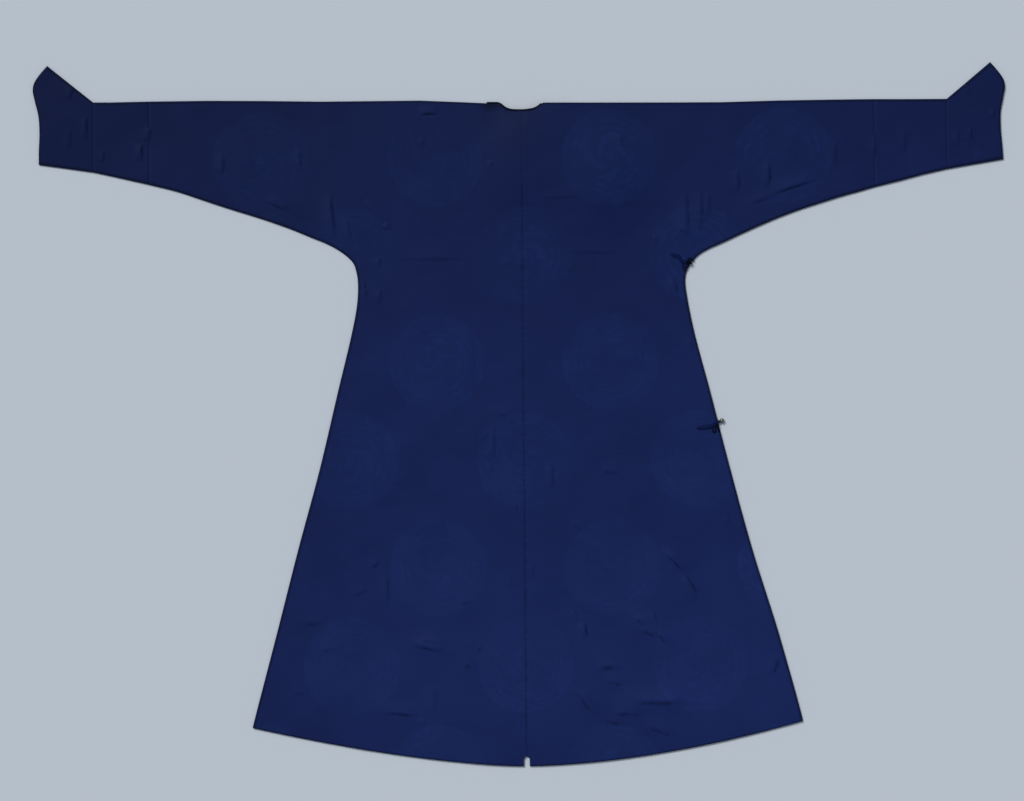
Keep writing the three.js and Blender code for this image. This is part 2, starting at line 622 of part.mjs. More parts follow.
const robe = new THREE.Group();
robe.add(
  clothMesh('body_right', rightLines, { back: BODY_COLUMNS.back, front: BODY_COLUMNS.rightFront }),
  clothMesh('body_left', leftLines, { back: BODY_COLUMNS.back, front: BODY_COLUMNS.leftFront }),
  overlapMesh(rightLines),
  sleeveMesh('sleeve_right', RIGHT_SLEEVE, 1),
  sleeveMesh('sleeve_left', LEFT_SLEEVE, -1),
  cuffMesh('cuff_right', RIGHT_SLEEVE, RIGHT_MOUTH, 1),
  cuffMesh('cuff_left', LEFT_SLEEVE, LEFT_MOUTH, -1),
  bindingMesh('neck_binding_back', BACK_NECK, BACK_BINDING),
  bindingMesh('neck_binding_front', FRONT_NECK, FRONT_BINDING),
  ...sideClosure(SIDE_CLOSURE),
  ...underarmClosure(UNDERARM_CLOSURE),
  ...HIDDEN_CLOSURES.flatMap(hiddenClosure),
);

// The origin is under the middle of the robe's footprint.
const footprint = new THREE.Box3().setFromObject(robe);
const middle = footprint.getCenter(new THREE.Vector3());
robe.position.set(-middle.x, -middle.y, 0);

const part = new THREE.Group();
part.add(robe);

export default part;
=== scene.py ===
"""Informal court robe with horse-hoof cuffs, laid flat with its back up: the visual model.

Sizes in the tables are millimetres. X is across from the centre seam and towards the
wearer's right, Y is up from the shoulder line towards the neck, and Z is up from the surface
that the robe lies on. The one change to metres is made where a mesh gets its points.
"""

import logging
import math
from collections.abc import Callable, Sequence
from dataclasses import dataclass, field
from enum import Enum

import bmesh
import bpy
import numpy as np
from mathutils import Matrix, Vector


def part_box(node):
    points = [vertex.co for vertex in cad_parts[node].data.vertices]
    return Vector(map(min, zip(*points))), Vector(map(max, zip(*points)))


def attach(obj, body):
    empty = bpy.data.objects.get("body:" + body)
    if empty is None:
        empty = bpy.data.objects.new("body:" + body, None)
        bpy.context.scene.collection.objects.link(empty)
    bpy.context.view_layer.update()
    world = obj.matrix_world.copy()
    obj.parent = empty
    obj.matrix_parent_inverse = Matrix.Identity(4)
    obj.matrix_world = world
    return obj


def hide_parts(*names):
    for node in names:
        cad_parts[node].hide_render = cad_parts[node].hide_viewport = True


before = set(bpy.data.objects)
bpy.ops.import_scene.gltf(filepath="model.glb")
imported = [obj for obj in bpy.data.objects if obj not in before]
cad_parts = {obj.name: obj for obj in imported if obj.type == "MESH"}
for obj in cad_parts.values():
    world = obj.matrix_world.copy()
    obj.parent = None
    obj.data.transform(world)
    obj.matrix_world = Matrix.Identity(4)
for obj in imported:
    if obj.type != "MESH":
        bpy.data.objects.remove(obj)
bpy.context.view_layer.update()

LOG = logging.getLogger("robe")

MM = 0.001
CLOTH = 1.2  # one layer of lined silk damask
GAP = 0.3  # between pieces that lie on each other
SEAM = GAP / 2  # from a seam to the solid's edge beside it
SEWN = 0.03  # from a seam to the cloth's edge beside it
FRONT_LEVEL = CLOTH / 2  # middle of the cloth above the surface
UNDER_LEVEL = FRONT_LEVEL + CLOTH + GAP
BACK_LEVEL = UNDER_LEVEL + CLOTH + 3 * GAP
BODY = "root"


class Side(Enum):
    """Half of the robe, by the wearer's side. The value is the sign of X."""

    RIGHT = 1
    LEFT = -1


def robe_zero() -> tuple[float, float]:
    """Where the centre seam and the shoulder line lie in the frame, in millimetres."""
    low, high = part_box("body_right")
    return low.x / MM - SEAM, high.y / MM - GAP


ZERO = robe_zero()


# ---------------------------------------------------------------- tables of the cloth's lines


@dataclass(frozen=True)
class Row:
    """A line of cloth from an inner end on the centre, neck or shoulder to the outer edge.

    Places are (across, down) from the centre seam and the shoulder line. bend is how the line
    sweeps up towards the side, 1 for straight.
    """

    name: str
    edge: tuple[float, float]
    back: tuple[float, float]
    front: tuple[float, float]
    bend: float = 1.0


RIGHT_ROWS = (
    Row("hem", (553, 1242.5), (3.5, 1328.5), (3.5, 1328.5), 1.75),
    Row("notch", (548, 1221), (0, 1305), (0, 1305), 1.7),
    Row("shin", (504, 1060), (0, 1130), (0, 1130), 1.45),
    Row("knee", (455, 900), (0, 950), (0, 950), 1.25),
    Row("thigh", (412, 739), (0, 772), (0, 765), 1.1),
    Row("hip", (372, 579), (0, 597), (0, 580)),
    Row("waist", (341, 459), (0, 462), (0, 430)),
    Row("ribs", (328.5, 395), (0, 385), (0, 335)),
    Row("chest", (324.5, 360), (0, 325), (0, 250)),
    Row("side", (327, 343), (0, 265), (0, 168)),
    Row("underarm", (335, 328), (0, 205), (0, 88)),
    Row("armpit", (350, 310.5), (0, 150), (30, 84)),
    Row("blade", (371, 297.5), (0, 90), (52, 68)),
    Row("nape", (395, 287), (0, 18.6), (62, 45)),
    Row("collar", (415, 278), (25, 15.2), (58, 22)),
    Row("neck point", (435, 268.8), (43.5, 1.5), (43.5, 1.5)),
    Row("shoulder", (475, 251), (100, 1.7), (100, 1.7)),
    Row("shoulder end", (515, 234.6), (190, 2.3), (190, 2.3)),
    Row("upper arm", (555, 220), (290, 3), (290, 3)),
    Row("arm", (595, 207.3), (400, 3.4), (400, 3.4)),
    Row("elbow", (636, 194.8), (515, 1), (515, 1)),
    Row("forearm", (676, 184.1), (620, 0), (620, 0)),
    Row("sleeve seam", (706, 175.6), (706, -0.3), (706, -0.3)),
)

LEFT_ROWS = (
    Row("hem", (548, 1247.5), (3.5, 1328.5), (3.5, 1328.5), 1.55),
    Row("notch", (542, 1224), (0, 1305), (0, 1305), 1.5),
    Row("shin", (496, 1052), (0, 1130), (0, 1130), 1.35),
    Row("knee", (454, 892), (0, 950), (0, 950), 1.2),
    Row("thigh", (410, 733), (0, 772), (0, 765), 1.1),
    Row("hip", (371, 573), (0, 597), (0, 580)),
    Row("waist", (342, 455), (0, 462), (0, 430)),
    Row("ribs", (332, 401), (0, 385), (0, 335)),
    Row("chest", (330, 362), (0, 325), (0, 250)),
    Row("side", (332.3, 341), (0, 265), (0, 168)),
    Row("underarm", (338.5, 321), (0, 205), (0, 88)),
    Row("armpit", (353, 305), (0, 150), (35, 84)),
    Row("blade", (376, 289), (0, 90), (60, 66)),
    Row("nape", (400, 277), (0, 18.6), (78, 42)),
    Row("collar", (420, 269), (26, 16.6), (82, 22)),
    Row("lip", (436, 262.2), (39, 9.8), (79, 9)),
    Row("lip end", (447, 257.5), (49, 4.2), (77, 6)),
    Row("neck point", (458, 252.9), (73, 1.6), (73, 1.6)),
    Row("shoulder", (482, 243.8), (120, -0.8), (120, -0.8)),
    Row("shoulder end", (515, 232), (203, -4.7), (203, -4.7)),
    Row("upper arm", (552, 220), (300, -4.4), (300, -4.4)),
    Row("arm", (592, 207.3), (400, -4.2), (400, -4.2)),
    Row("elbow", (636, 192.4), (515, -6.4), (515, -6.4)),
    Row("forearm", (690, 174), (630, -7.7), (630, -7.7)),
    Row("sleeve seam", (745.5, 159.6), (745.5, -7.1), (745.5, -7.1)),
)

TOP_EDGE_BOW = 30.0  # rise of the overlap's top edge above a straight line
BOW_ROWS = 4  # over which the bow of the overlap's top edge dies away
STEP_DOWN_ROWS = 2  # over which the front comes down from the overlap to the surface

# Lower sleeves from sleeve seam to cuff seam: across, down at the fold, down at the seam below.
RIGHT_SLEEVE = ((706, -0.3, 175.6), (757, 0.2, 163.4), (803, 0.4, 151.3), (851, 0.5, 140.8))
LEFT_SLEEVE = ((745.5, -7.1, 159.6), (784, -6.6, 150.6), (820, -6, 142.3), (857, -6.2, 134))

# Mouths of the horse-hoof cuffs, from the hoof's tip on top to the under-sleeve corner.
RIGHT_MOUTH = (
    (938, -72.3), (951, -57), (963.5, -38), (966, -24), (962, 0), (957.5, 26),
    (957.5, 62), (960.5, 96), (962.5, 122.5),
)
LEFT_MOUTH = (
    (948, -79.8), (961, -65), (973, -47), (976.3, -32), (972.5, -10), (965.5, 22),
    (964, 54), (966, 96), (966.3, 118),
)


# ---------------------------------------------------------------- relief of the laid cloth


@dataclass(frozen=True)
class Ridge:
    """A broad soft crease that folding left: middle, length, degrees from +X, width, height."""

    x: float
    down: float
    length: float
    angle: float
    width: float
    height: float


BROAD_RIDGES = (
    Ridge(308, 948, 150, -53, 60, 3),
    Ridge(252, 1062, 110, -40, 56, 2.6),
    Ridge(257, 1196, 150, 0, 56, 3),
    Ridge(137, 1200, 110, -42, 52, 2.4),
    Ridge(-196, 1088, 100, -22, 56, 2.6),
)
RIDGE_FALL = 1.4  # how fast a ridge falls away from its line


@dataclass(frozen=True)
class Crease:
    """One crease along a curve through three (x, down) places.

    height is its ridge above the cloth, sharp the steep side's width and soft the other's.
    """

    start: tuple[float, float]
    middle: tuple[float, float]
    end: tuple[float, float]
    height: float
    sharp: float
    soft: float

    def path(self) -> np.ndarray:
        """Points along the crease.

        Returns:
            Rows of X and Y.
        """
        places = (self.start, self.middle, self.end)
        start, middle, end = (np.array((x, -down)) for x, down in places)
        control = 2 * middle - (start + end) / 2
        share = np.linspace(0, 1, 11)[:, None]
        return (1 - share) ** 2 * start + 2 * share * (1 - share) * control + share**2 * end


def creases_from(*rows: tuple[float, ...]) -> tuple[Crease, ...]:
    """Creases from rows of numbers.

    Args:
        rows: For each, x and down of its start, middle and end, then height, sharp and soft.

    Returns:
        The creases.
    """
    return tuple(Crease(row[:2], row[2:4], row[4:6], *row[6:]) for row in rows)


SKIRT_CREASES = creases_from(
    (268, 898, 300, 924, 321, 951, 2.6, 5, 15), (317, 945, 333, 969, 349, 999, 2.0, 5, 13),
    (215, 1032, 229, 1042, 242, 1054, 1.6, 4, 10), (228, 1058, 244, 1064, 260, 1076, 2.2, 4.5, 11),
    (253, 1018, 259, 1030, 263, 1046, 1.4, 4, 9), (262, 1062, 274, 1076, 286, 1094, 1.8, 4.5, 10),
    (140, 1135, 166, 1133, 196, 1136, 2.4, 5, 12), (156, 1167, 174, 1165, 196, 1168, 1.6, 4, 10),
    (207, 1206, 267, 1204, 327, 1207, 2.6, 5, 14), (251, 1210, 271, 1207, 291, 1210, 1.2, 4, 8),
    (171, 1229, 203, 1226, 237, 1228, 1.8, 4.5, 11),
    (153, 1237, 175, 1243, 201, 1252, 1.6, 4.5, 10), (102, 1173, 117, 1203, 143, 1233, 1.8, 5, 12),
    (229, 1252, 263, 1260, 299, 1274, 1.6, 5, 12), (95, 1015, 101, 1029, 105, 1045, 1.2, 4, 9),
    (115, 1037, 120, 1057, 122, 1079, 1.6, 4.5, 10), (494, 1152, 500, 1132, 508, 1108, 1.8, 5, 12),
    (-232, 1084, -196, 1092, -160, 1101, 2.2, 5, 12),
    (-216, 1078, -188, 1078, -156, 1087, 1.2, 4, 9),
    (-131, 1003, -119, 1001, -107, 1003, 1.2, 4, 9),
    (-128, 1125, -116, 1127, -102, 1133, 1.2, 4, 9),
    (-301, 1222, -253, 1222, -201, 1228, 1.6, 4.5, 12),
    (-219, 1238, -211, 1242, -201, 1246, 1.1, 4, 8), (-309, 932, -298, 924, -290, 918, 1.4, 4, 9),
    (-276, 926, -275, 974, -277, 1018, 1.1, 5, 12), (-347, 987, -331, 981, -315, 977, 1.3, 4.5, 10),
    (90, 839, 104, 851, 116, 865, 1.4, 4.5, 10), (151, 741, 171, 743, 195, 742, 1.2, 5, 12),
    (-182, 1155, -181, 1191, -183, 1227, 1.0, 5, 12), (-98, 1101, -88, 1089, -78, 1077, 1.2, 4, 9),
    (402, 827, 408, 837, 412, 849, 1.2, 5, 11), (473, 970, 481, 990, 485, 1012, 1.2, 5, 12),
    (-451, 1048, -427, 1041, -399, 1045, 1.2, 5, 12),
    (-416, 1103, -392, 1093, -366, 1097, 1.0, 5, 12),
    (-474, 1172, -453, 1180, -429, 1177, 1.0, 5, 12),
)
SEAM_PUCKERS = creases_from(
    (-66, 621, -46, 624, -20, 634, 1.3, 3.5, 8), (-34, 632, -28, 638, -24, 646, 1.0, 3.5, 7),
    (-87, 701, -79, 709, -73, 719, 1.1, 3.5, 8), (-58, 644, -60, 680, -57, 716, 1.1, 4, 9),
    (-67, 723, -65, 731, -63, 744, 0.9, 3.5, 7), (-53, 772, -49, 780, -45, 788, 1.0, 3.5, 7),
    (14, 642, 26, 644, 38, 644, 0.9, 3.5, 7), (10, 676, 18, 678, 26, 678, 0.9, 3.5, 7),
    (9, 706, 15, 712, 19, 718, 0.9, 3.5, 7), (31, 720, 35, 726, 39, 734, 0.9, 3.5, 7),
    (55, 712, 57, 746, 55, 784, 1.1, 4, 9), (-19, 796, -16, 810, -18, 824, 0.8, 3.5, 7),
    (-80, 675, -74, 667, -68, 657, 0.9, 3.5, 8), (-47, 266, -35, 264, -21, 266, 0.9, 4, 8),
    (-43, 320, -32, 324, -18, 328, 1.0, 4, 8), (25, 310, 35, 316, 46, 322, 1.0, 4, 8),
    (-31, 946, -29, 962, -31, 980, 0.7, 4, 8), (16, 916, 17, 936, 15, 956, 0.7, 4, 8),
)
ARMHOLE_CREASES = creases_from(
    (-382, 173, -379, 223, -371, 279, 2.0, 4.5, 13), (-355, 221, -347, 249, -343, 279, 1.2, 4, 10),
    (-322, 193, -303, 218, -277, 250, 1.2, 5, 13), (-281, 246, -275, 250, -267, 256, 1.2, 4, 9),
    (328, 175, 331, 227, 331, 281, 1.4, 5, 14), (360, 171, 359, 223, 357, 279, 1.3, 5, 13),
    (376, 179, 375, 209, 373, 243, 1.0, 4, 10), (432, 136, 434, 160, 432, 188, 1.5, 4.5, 11),
    (407, 223, 411, 231, 417, 241, 1.1, 4, 8), (307, 251, 323, 263, 339, 275, 1.2, 4, 10),
    (257, 270, 263, 276, 267, 284, 1.0, 4, 8), (-289, 306, -285, 318, -288, 330, 1.0, 4, 8),
    (-286, 370, -284, 386, -286, 402, 1.0, 4, 9), (298, 348, 306, 371, 310, 395, 1.2, 4.5, 11),
    (-322, 343, -314, 373, -314, 405, 1.1, 5, 12), (333, 471, 337, 487, 339, 503, 1.0, 4, 8),
)
SLEEVE_CREASES = creases_from(
    (492, 116, 496, 148, 488, 184, 1.9, 4.5, 12), (492, 192, 546, 174, 600, 157, 2.0, 4.5, 13),
    (451, 212, 479, 200, 508, 192, 1.2, 4.5, 11), (-745, 42, -743, 58, -746, 76, 1.4, 4, 9),
    (-758, 76, -760, 94, -758, 114, 1.5, 4, 9), (-600, 91, -596, 119, -600, 147, 1.2, 5, 12),
    (-444, 84, -442, 108, -444, 136, 1.1, 5, 12), (-520, 192, -493, 204, -461, 220, 1.3, 5, 12),
    (707, 70, 708, 94, 706, 118, 1.2, 4, 9), (632, 81, 628, 109, 632, 141, 1.1, 5, 12),
    (767, 58, 768, 86, 766, 114, 1.0, 5, 11), (-207, 26, -187, 22, -161, 23, 1.6, 4.5, 11),
    (-199, 66, -196, 78, -198, 92, 1.0, 4, 9), (197, 62, 200, 80, 204, 100, 1.1, 4, 9),
    (128, 191, 76, 193, 20, 192, 0.8, 5, 12), (-267, 312, -185, 314, -85, 313, 0.9, 6, 14),
    (77, 301, 139, 303, 205, 306, 0.8, 6, 14), (-64, 115, -60, 122, -56, 130, 1.0, 4, 8),
)
CUFF_CREASES = creases_from(
    (-868, 18, -870, 44, -868, 72, 1.2, 4, 9), (-838, 86, -836, 104, -838, 116, 1.1, 4, 8),
    (-905, 40, -902, 66, -906, 96, 0.9, 5, 10), (872, 60, 874, 80, 871, 98, 1.1, 4, 9),
    (902, 56, 900, 72, 903, 88, 1.2, 4, 9), (944, 20, 946, 30, 943, 42, 1.0, 4, 8),
    (889, -34, 896, -22, 900, -8, 0.9, 5, 10), (-893, -36, -899, -24, -902, -10, 0.9, 5, 10),
)
# Creases of the fronts, which press up through the layers that lie on them.
FRONT_CREASES = creases_from(
    (-300, 840, -210, 852, -120, 846, 0.9, 7, 20), (-420, 1040, -380, 1100, -360, 1160, 0.8, 7, 18),
    (-120, 420, -100, 500, -110, 590, 0.9, 7, 20), (90, 980, 150, 1030, 230, 1060, 0.9, 7, 20),
    (330, 1120, 380, 1106, 440, 1110, 0.8, 7, 18), (110, 500, 180, 520, 260, 516, 0.9, 7, 20),
    (-560, 60, -540, 100, -545, 150, 0.8, 7, 16), (560, 50, 545, 96, 552, 140, 0.8, 7, 16),
)
BACK_CREASES = SKIRT_CREASES + SEAM_PUCKERS + ARMHOLE_CREASES + SLEEVE_CREASES + CUFF_CREASES
STEEP_SIDE_FROM = np.array((0.55, -0.83))  # the way that the creases' steep sides face
TAPER = 0.38  # share of a crease's length over which each of its ends dies away

# How far a crease reaches, in widths of its soft side.
LIFT_REACH = 3
CREASE_SHADE_REACH = 1.5
FINE_REACH = 1
# Places across a crease, from its line towards the soft side, in widths of its steep side.
RIDGE_AT = 0.8
TROUGH_AT = -0.4
FOLD_AT = -0.2
FINE_FROM = -1.8
TROUGH_WIDTH = 0.55
TROUGH_DEPTH = 0.3  # of the hollow at the steep side's foot, as a share of the ridge

CREASE_SHADE_WIDTH = 3.0  # half width of the painted shade line along a crease's fold
FIRST_CREASE_SHADE = 0.4  # height from which a crease gets a painted shade line
FULL_CREASE_SHADE = 1.6  # height from which that line is at its darkest


def smooth_step(value: np.ndarray, low: float, high: float) -> np.ndarray:
    """0 up to low, 1 from high, and a smooth step between them."""
    share = np.clip((value - low) / (high - low), 0, 1)
    return share * share * (3 - 2 * share)


def along_path(spots: np.ndarray, path: np.ndarray) -> tuple[np.ndarray, np.ndarray]:
    """Where spots lie beside a path.

    Args:
        spots: The spots, as rows of X and Y.
        path: The path's points, in order.

    Returns:
        Each spot's signed distance, positive to the left, and its share of the way along.
    """
    best = np.full(len(spots), np.inf)
    signed = np.full(len(spots), np.inf)
    share = np.zeros(len(spots))
    count = len(path) - 1
    for k in range(count):
        step = path[k + 1] - path[k]
        away = spots - path[k]
        part = np.clip(away @ step / math.hypot(*step) ** 2, 0, 1)
        gap = away - part[:, None] * step
        distance = np.hypot(gap[:, 0], gap[:, 1])
        nearer = distance < best
        cross = step[0] * away[:, 1] - step[1] * away[:, 0]
        best = np.where(nearer, distance, best)
        signed = np.where(nearer, distance * np.where(cross < 0, -1, 1), signed)
        share = np.where(nearer, (k + part) / count, share)
    return signed, share


@dataclass(frozen=True)
class Zone:
    """The spots round one crease: which they are, how far from it, and how strong it is there."""

    crease: Crease
    near: np.ndarray
    signed: np.ndarray
    fade: np.ndarray


def crease_zones(spots: np.ndarray, creases: Sequence[Crease], reach: float) -> list[Zone]:
    """Find the spots round each crease.

    Args:
        spots: The spots, as rows of X and Y.
        creases: The creases.
        reach: How far a crease reaches, in widths of its soft side.

    Returns:
        A zone for each crease with spots round it. Distances grow towards the soft side.
    """
    zones = []
    for crease in creases:
        path = crease.path()
        margin = reach * crease.soft
        low, high = path.min(axis=0) - margin, path.max(axis=0) + margin
        near = np.flatnonzero(np.all((spots > low) & (spots < high), axis=1))
        if near.size == 0:
            continue
        signed, share = along_path(spots[near], path)
        way = path[-1] - path[0]
        if np.array((-way[1], way[0])) @ STEEP_SIDE_FROM > 0:
            signed = -signed
        fade = smooth_step(share, 0, TAPER) * smooth_step(1 - share, 0, TAPER)
        zones.append(Zone(crease, near, signed, fade))
    return zones


def crease_lift(spots: np.ndarray, creases: Sequence[Crease], trough: float) -> np.ndarray:
    """Height that creases add at spots.

    Args:
        spots: The spots, as rows of X and Y.
        creases: The creases.
        trough: Depth of the hollow at the foot of the steep side, as a share of the ridge.

    Returns:
        The height at each spot.
    """
    lift = np.zeros(len(spots))
    for zone in crease_zones(spots, creases, LIFT_REACH):
        sharp = zone.crease.sharp
        over = zone.signed - RIDGE_AT * sharp
        ridge = np.exp(-((over / np.where(over > 0, zone.crease.soft, sharp)) ** 2))
        foot = (zone.signed - TROUGH_AT * sharp) / (TROUGH_WIDTH * sharp)
        lift[zone.near] += zone.crease.height * zone.fade * (ridge - trough * np.exp(-(foot**2)))
    return lift


def painted_crease_shade(spots: np.ndarray, creases: Sequence[Crease]) -> np.ndarray:
    """Painted shade at spots, darkest in the fold at a steep side's foot.

    Args:
        spots: The spots, as rows of X and Y.
        creases: The creases.

    Returns:
        The painted shade at each spot, 0 to 1.
    """
    crease_shade = np.zeros(len(spots))
    for zone in crease_zones(spots, creases, CREASE_SHADE_REACH):
        fold = np.exp(-(((zone.signed - FOLD_AT * zone.crease.sharp) / CREASE_SHADE_WIDTH) ** 2))
        strength = min(1.0, (zone.crease.height - FIRST_CREASE_SHADE) / (FULL_CREASE_SHADE - FIRST_CREASE_SHADE))
        crease_shade[zone.near] = np.maximum(crease_shade[zone.near], strength * zone.fade * fold)
    return crease_shade


def near_creases(spots: np.ndarray, creases: Sequence[Crease]) -> np.ndarray:
    """Find the spots that lie close enough to a crease to need a finer mesh.

    Args:
        spots: The spots, as rows of X and Y.
        creases: The creases.

    Returns:
        True at each such spot.
    """
    close = np.zeros(len(spots), bool)
    for zone in crease_zones(spots, creases, FINE_REACH):
        low, high = FINE_FROM * zone.crease.sharp, zone.crease.soft
        close[zone.near] |= (zone.signed > low) & (zone.signed < high)
    return close


def overlap_edge(share: float) -> np.ndarray:
    """A place on the overlap's top edge.

    Args:
        share: The share of the way from the centre to the underarm.

    Returns:
        X and Y.
    """
    row = next(row for row in RIGHT_ROWS if row.name == "underarm")
    inner, edge = np.array(row.front), np.array(row.edge)
    spot = inner + (edge - inner) * share
    return np.array((spot[0], TOP_EDGE_BOW * math.sin(math.pi * share) - spot[1]))


@dataclass(frozen=True)
class Rise:
    """How the layers are lifted over the two ball buttons that lie under the cloth."""

    height: float = 10.8
    flat: float = 22
    reach: float = 150
    along_top_edge: tuple[float, ...] = (0.1, 0.42)

    def at(self, spots: np.ndarray) -> np.ndarray:
        """The lift over both buttons, which blends where they are near each other.

        Args:
            spots: The spots, as rows of X and Y.

        Returns:
            The height at each spot.
        """
        left = np.ones(len(spots))
        for share in self.along_top_edge:
            away = spots - overlap_edge(share)
            beyond = (np.hypot(away[:, 0], away[:, 1]) - self.flat) / (self.reach - self.flat)
            left *= 1 - (1 + np.cos(np.pi * np.clip(beyond, 0, 1))) / 2
        return self.height * (1 - left)


RISE = Rise()


def broad_lift(spots: np.ndarray) -> np.ndarray:
    """Height of the broad ridges.

    Args:
        spots: The spots, as rows of X and Y.

    Returns:
        The height at each spot.
    """
    lift = np.zeros(len(spots))
    for ridge in BROAD_RIDGES:
        turn = math.radians(ridge.angle)
        away = spots - np.array((ridge.x, -ridge.down))
        along = away @ np.array((math.cos(turn), math.sin(turn))) / (ridge.length / 2)
        over = away @ np.array((-math.sin(turn), math.cos(turn))) / (ridge.width / 2)
        lift += ridge.height * np.exp(-RIDGE_FALL * (along**4 + over**2))
    return lift


# Slow waves of cloth that never lies quite flat: height, wavelength, degrees from +X, phase.
WAVES = (
    (0.16, 210, 24, 0.4), (0.14, 157, 101, 2.1), (0.12, 118, 148, 4.4), (0.1, 93, 63, 1.2),
    (0.08, 71, 12, 3.6), (0.07, 57, 124, 5.2),
)


def slow_waves(spots: np.ndarray) -> np.ndarray:
    """Height of the slow waves.

    Args:
        spots: The spots, as rows of X and Y.

    Returns:
        The height at each spot.
    """
    lift = np.zeros(len(spots))
    for height, length, angle, phase in WAVES:
        turn = math.radians(angle)
        along = spots @ np.array((math.cos(turn), math.sin(turn)))
        lift += height * np.sin(2 * np.pi * along / length + phase)
    return lift


SEAM_DIP = 0.32  # depth of the cloth's dip into the stitches
SEAM_DIP_WIDTH = 3.8
PUCKER = 0.22  # height of the small waves that the stitches draw up
PUCKER_REACH = 9.0
PUCKER_LENGTH = 11.3
PUCKER_DRIFT = 1.7  # how far the waves fall out of step, in radians
DRIFT_LENGTH = 83.0
PUCKER_SWELL = 0.4  # how much the waves' height varies along the seam
SWELL_LENGTH = 247.0
PRESSED_FLAT = 5.0  # a seam that is pressed flat counts as this much further away
CENTRE_PRESSED = (-180.0, -80.0)  # Y over which the centre seam comes to be pressed flat
FAR_AWAY = 99.0


def seam_relief(along: np.ndarray, distance: np.ndarray) -> np.ndarray:
    """Height beside a sewn seam: it dips into the stitches and puckers along them.

    Args:
        along: Place along the seam.
        distance: Distance from the seam.

    Returns:
        The height at each place.
    """
    drift = PUCKER_DRIFT * np.sin(2 * np.pi * along / DRIFT_LENGTH)
    phase = 2 * np.pi * along / PUCKER_LENGTH + drift
    swell = 1 - PUCKER_SWELL + PUCKER_SWELL * np.sin(2 * np.pi * along / SWELL_LENGTH)
    waves = PUCKER * swell * np.sin(phase) * np.exp(-((distance / PUCKER_REACH) ** 2))
    return waves - SEAM_DIP * np.exp(-((distance / SEAM_DIP_WIDTH) ** 2))


BROAD_SHARE = 0.8  # of the broad ridges' height that the cloth shows beside its creases
DEEPEST = -0.6  # of the hollows between ridges and waves
SEAM_SLANT = 0.37  # how much a place across counts along a seam, for cross and long seams alike
BACK_FROM = 0.5  # share of the way up from the front's level at which the back's relief starts
LOWEST_LAYER = 0.2  # the same share, up to which cloth is the lowest layer
UNDER_DIP = 0.6  # share of a seam's dip that shows in the lowest layer


def relieved(spots: np.ndarray, seam: np.ndarray, creases: Sequence[Crease]) -> np.ndarray:
    """Points of laid cloth lifted by what lies under them, their creases and their seams.

    Args:
        spots: The points, laid smooth.
        seam: Each point's distance from a seam.
        creases: Creases in the back.

    Returns:
        The points, lifted.
    """
    flat = spots[:, :2]
    share = np.clip((spots[:, 2] - FRONT_LEVEL) / (BACK_LEVEL - FRONT_LEVEL), 0, 1)
    lift = crease_lift(flat, creases, TROUGH_DEPTH) + BROAD_SHARE * broad_lift(flat)
    lift = np.maximum(lift + slow_waves(flat), DEEPEST)
    lift += seam_relief(flat[:, 1] + SEAM_SLANT * flat[:, 0], seam)
    inward = SEAM_DIP * UNDER_DIP * np.exp(-((seam / SEAM_DIP_WIDTH) ** 2))
    raised = spots.copy()
    lifted = RISE.at(flat) + crease_lift(flat, FRONT_CREASES, 0)
    raised[:, 2] += lifted + smooth_step(share, BACK_FROM, 1) * lift
    raised[:, 2] += np.where(share < LOWEST_LAYER, inward, 0)
    return raised


def laid_level(x: float, y: float) -> float:
    """Height of the back's upper face at a place, with its creases and waves."""
    spot = relieved(np.array(((x, y, BACK_LEVEL),)), np.array((FAR_AWAY,)), BACK_CREASES)[0]
    return float(spot[2]) + CLOTH / 2


# ---------------------------------------------------------------- curves


def centripetal(points: np.ndarray, where: np.ndarray) -> np.ndarray:
    """Places on a centripetal Catmull-Rom curve.

    Args:
        points: The points that the curve passes through.
        where: Places on it, counted in points from the first.

    Returns:
        One place a row.
    """
    padded = np.vstack((2 * points[0] - points[1], points, 2 * points[-1] - points[-2]))
    index = np.clip(np.floor(where).astype(int), 0, len(points) - 2)
    share = (where - index)[:, None]
    p0, p1, p2, p3 = (padded[index + k] for k in range(4))
    spans = (np.linalg.norm(b - a, axis=1)[:, None] for a, b in ((p0, p1), (p1, p2), (p2, p3)))
    d0, d1, d2 = (np.maximum(span**0.5, 1e-3) for span in spans)
    t1 = d1 * ((p1 - p0) / d0 - (p2 - p0) / (d0 + d1) + (p2 - p1) / d1)
    t2 = d1 * ((p2 - p1) / d1 - (p3 - p1) / (d1 + d2) + (p3 - p2) / d2)
    c2 = -3 * p1 + 3 * p2 - 2 * t1 - t2
    c3 = 2 * p1 - 2 * p2 + t1 + t2
    return p1 + t1 * share + c2 * share**2 + c3 * share**3


def evenly_along(points: np.ndarray, shares: np.ndarray) -> np.ndarray:
    """Places on the smooth curve through points.

    Args:
        points: The points that the curve passes through.
        shares: Shares of the curve's length.

    Returns:
        One place a row.
    """
    fine = centripetal(points, np.linspace(0, len(points) - 1, 60 * len(points)))
    steps = np.linalg.norm(np.diff(fine, axis=0), axis=1)
    run = np.concatenate(((0,), np.cumsum(steps)))
    return np.stack([np.interp(shares * run[-1], run, axis) for axis in fine.T], axis=1)


def unit(vectors: np.ndarray) -> np.ndarray:
    """Vectors of length 1."""
    return vectors / np.linalg.norm(vectors, axis=-1, keepdims=True)


# ---------------------------------------------------------------- sheets of cloth

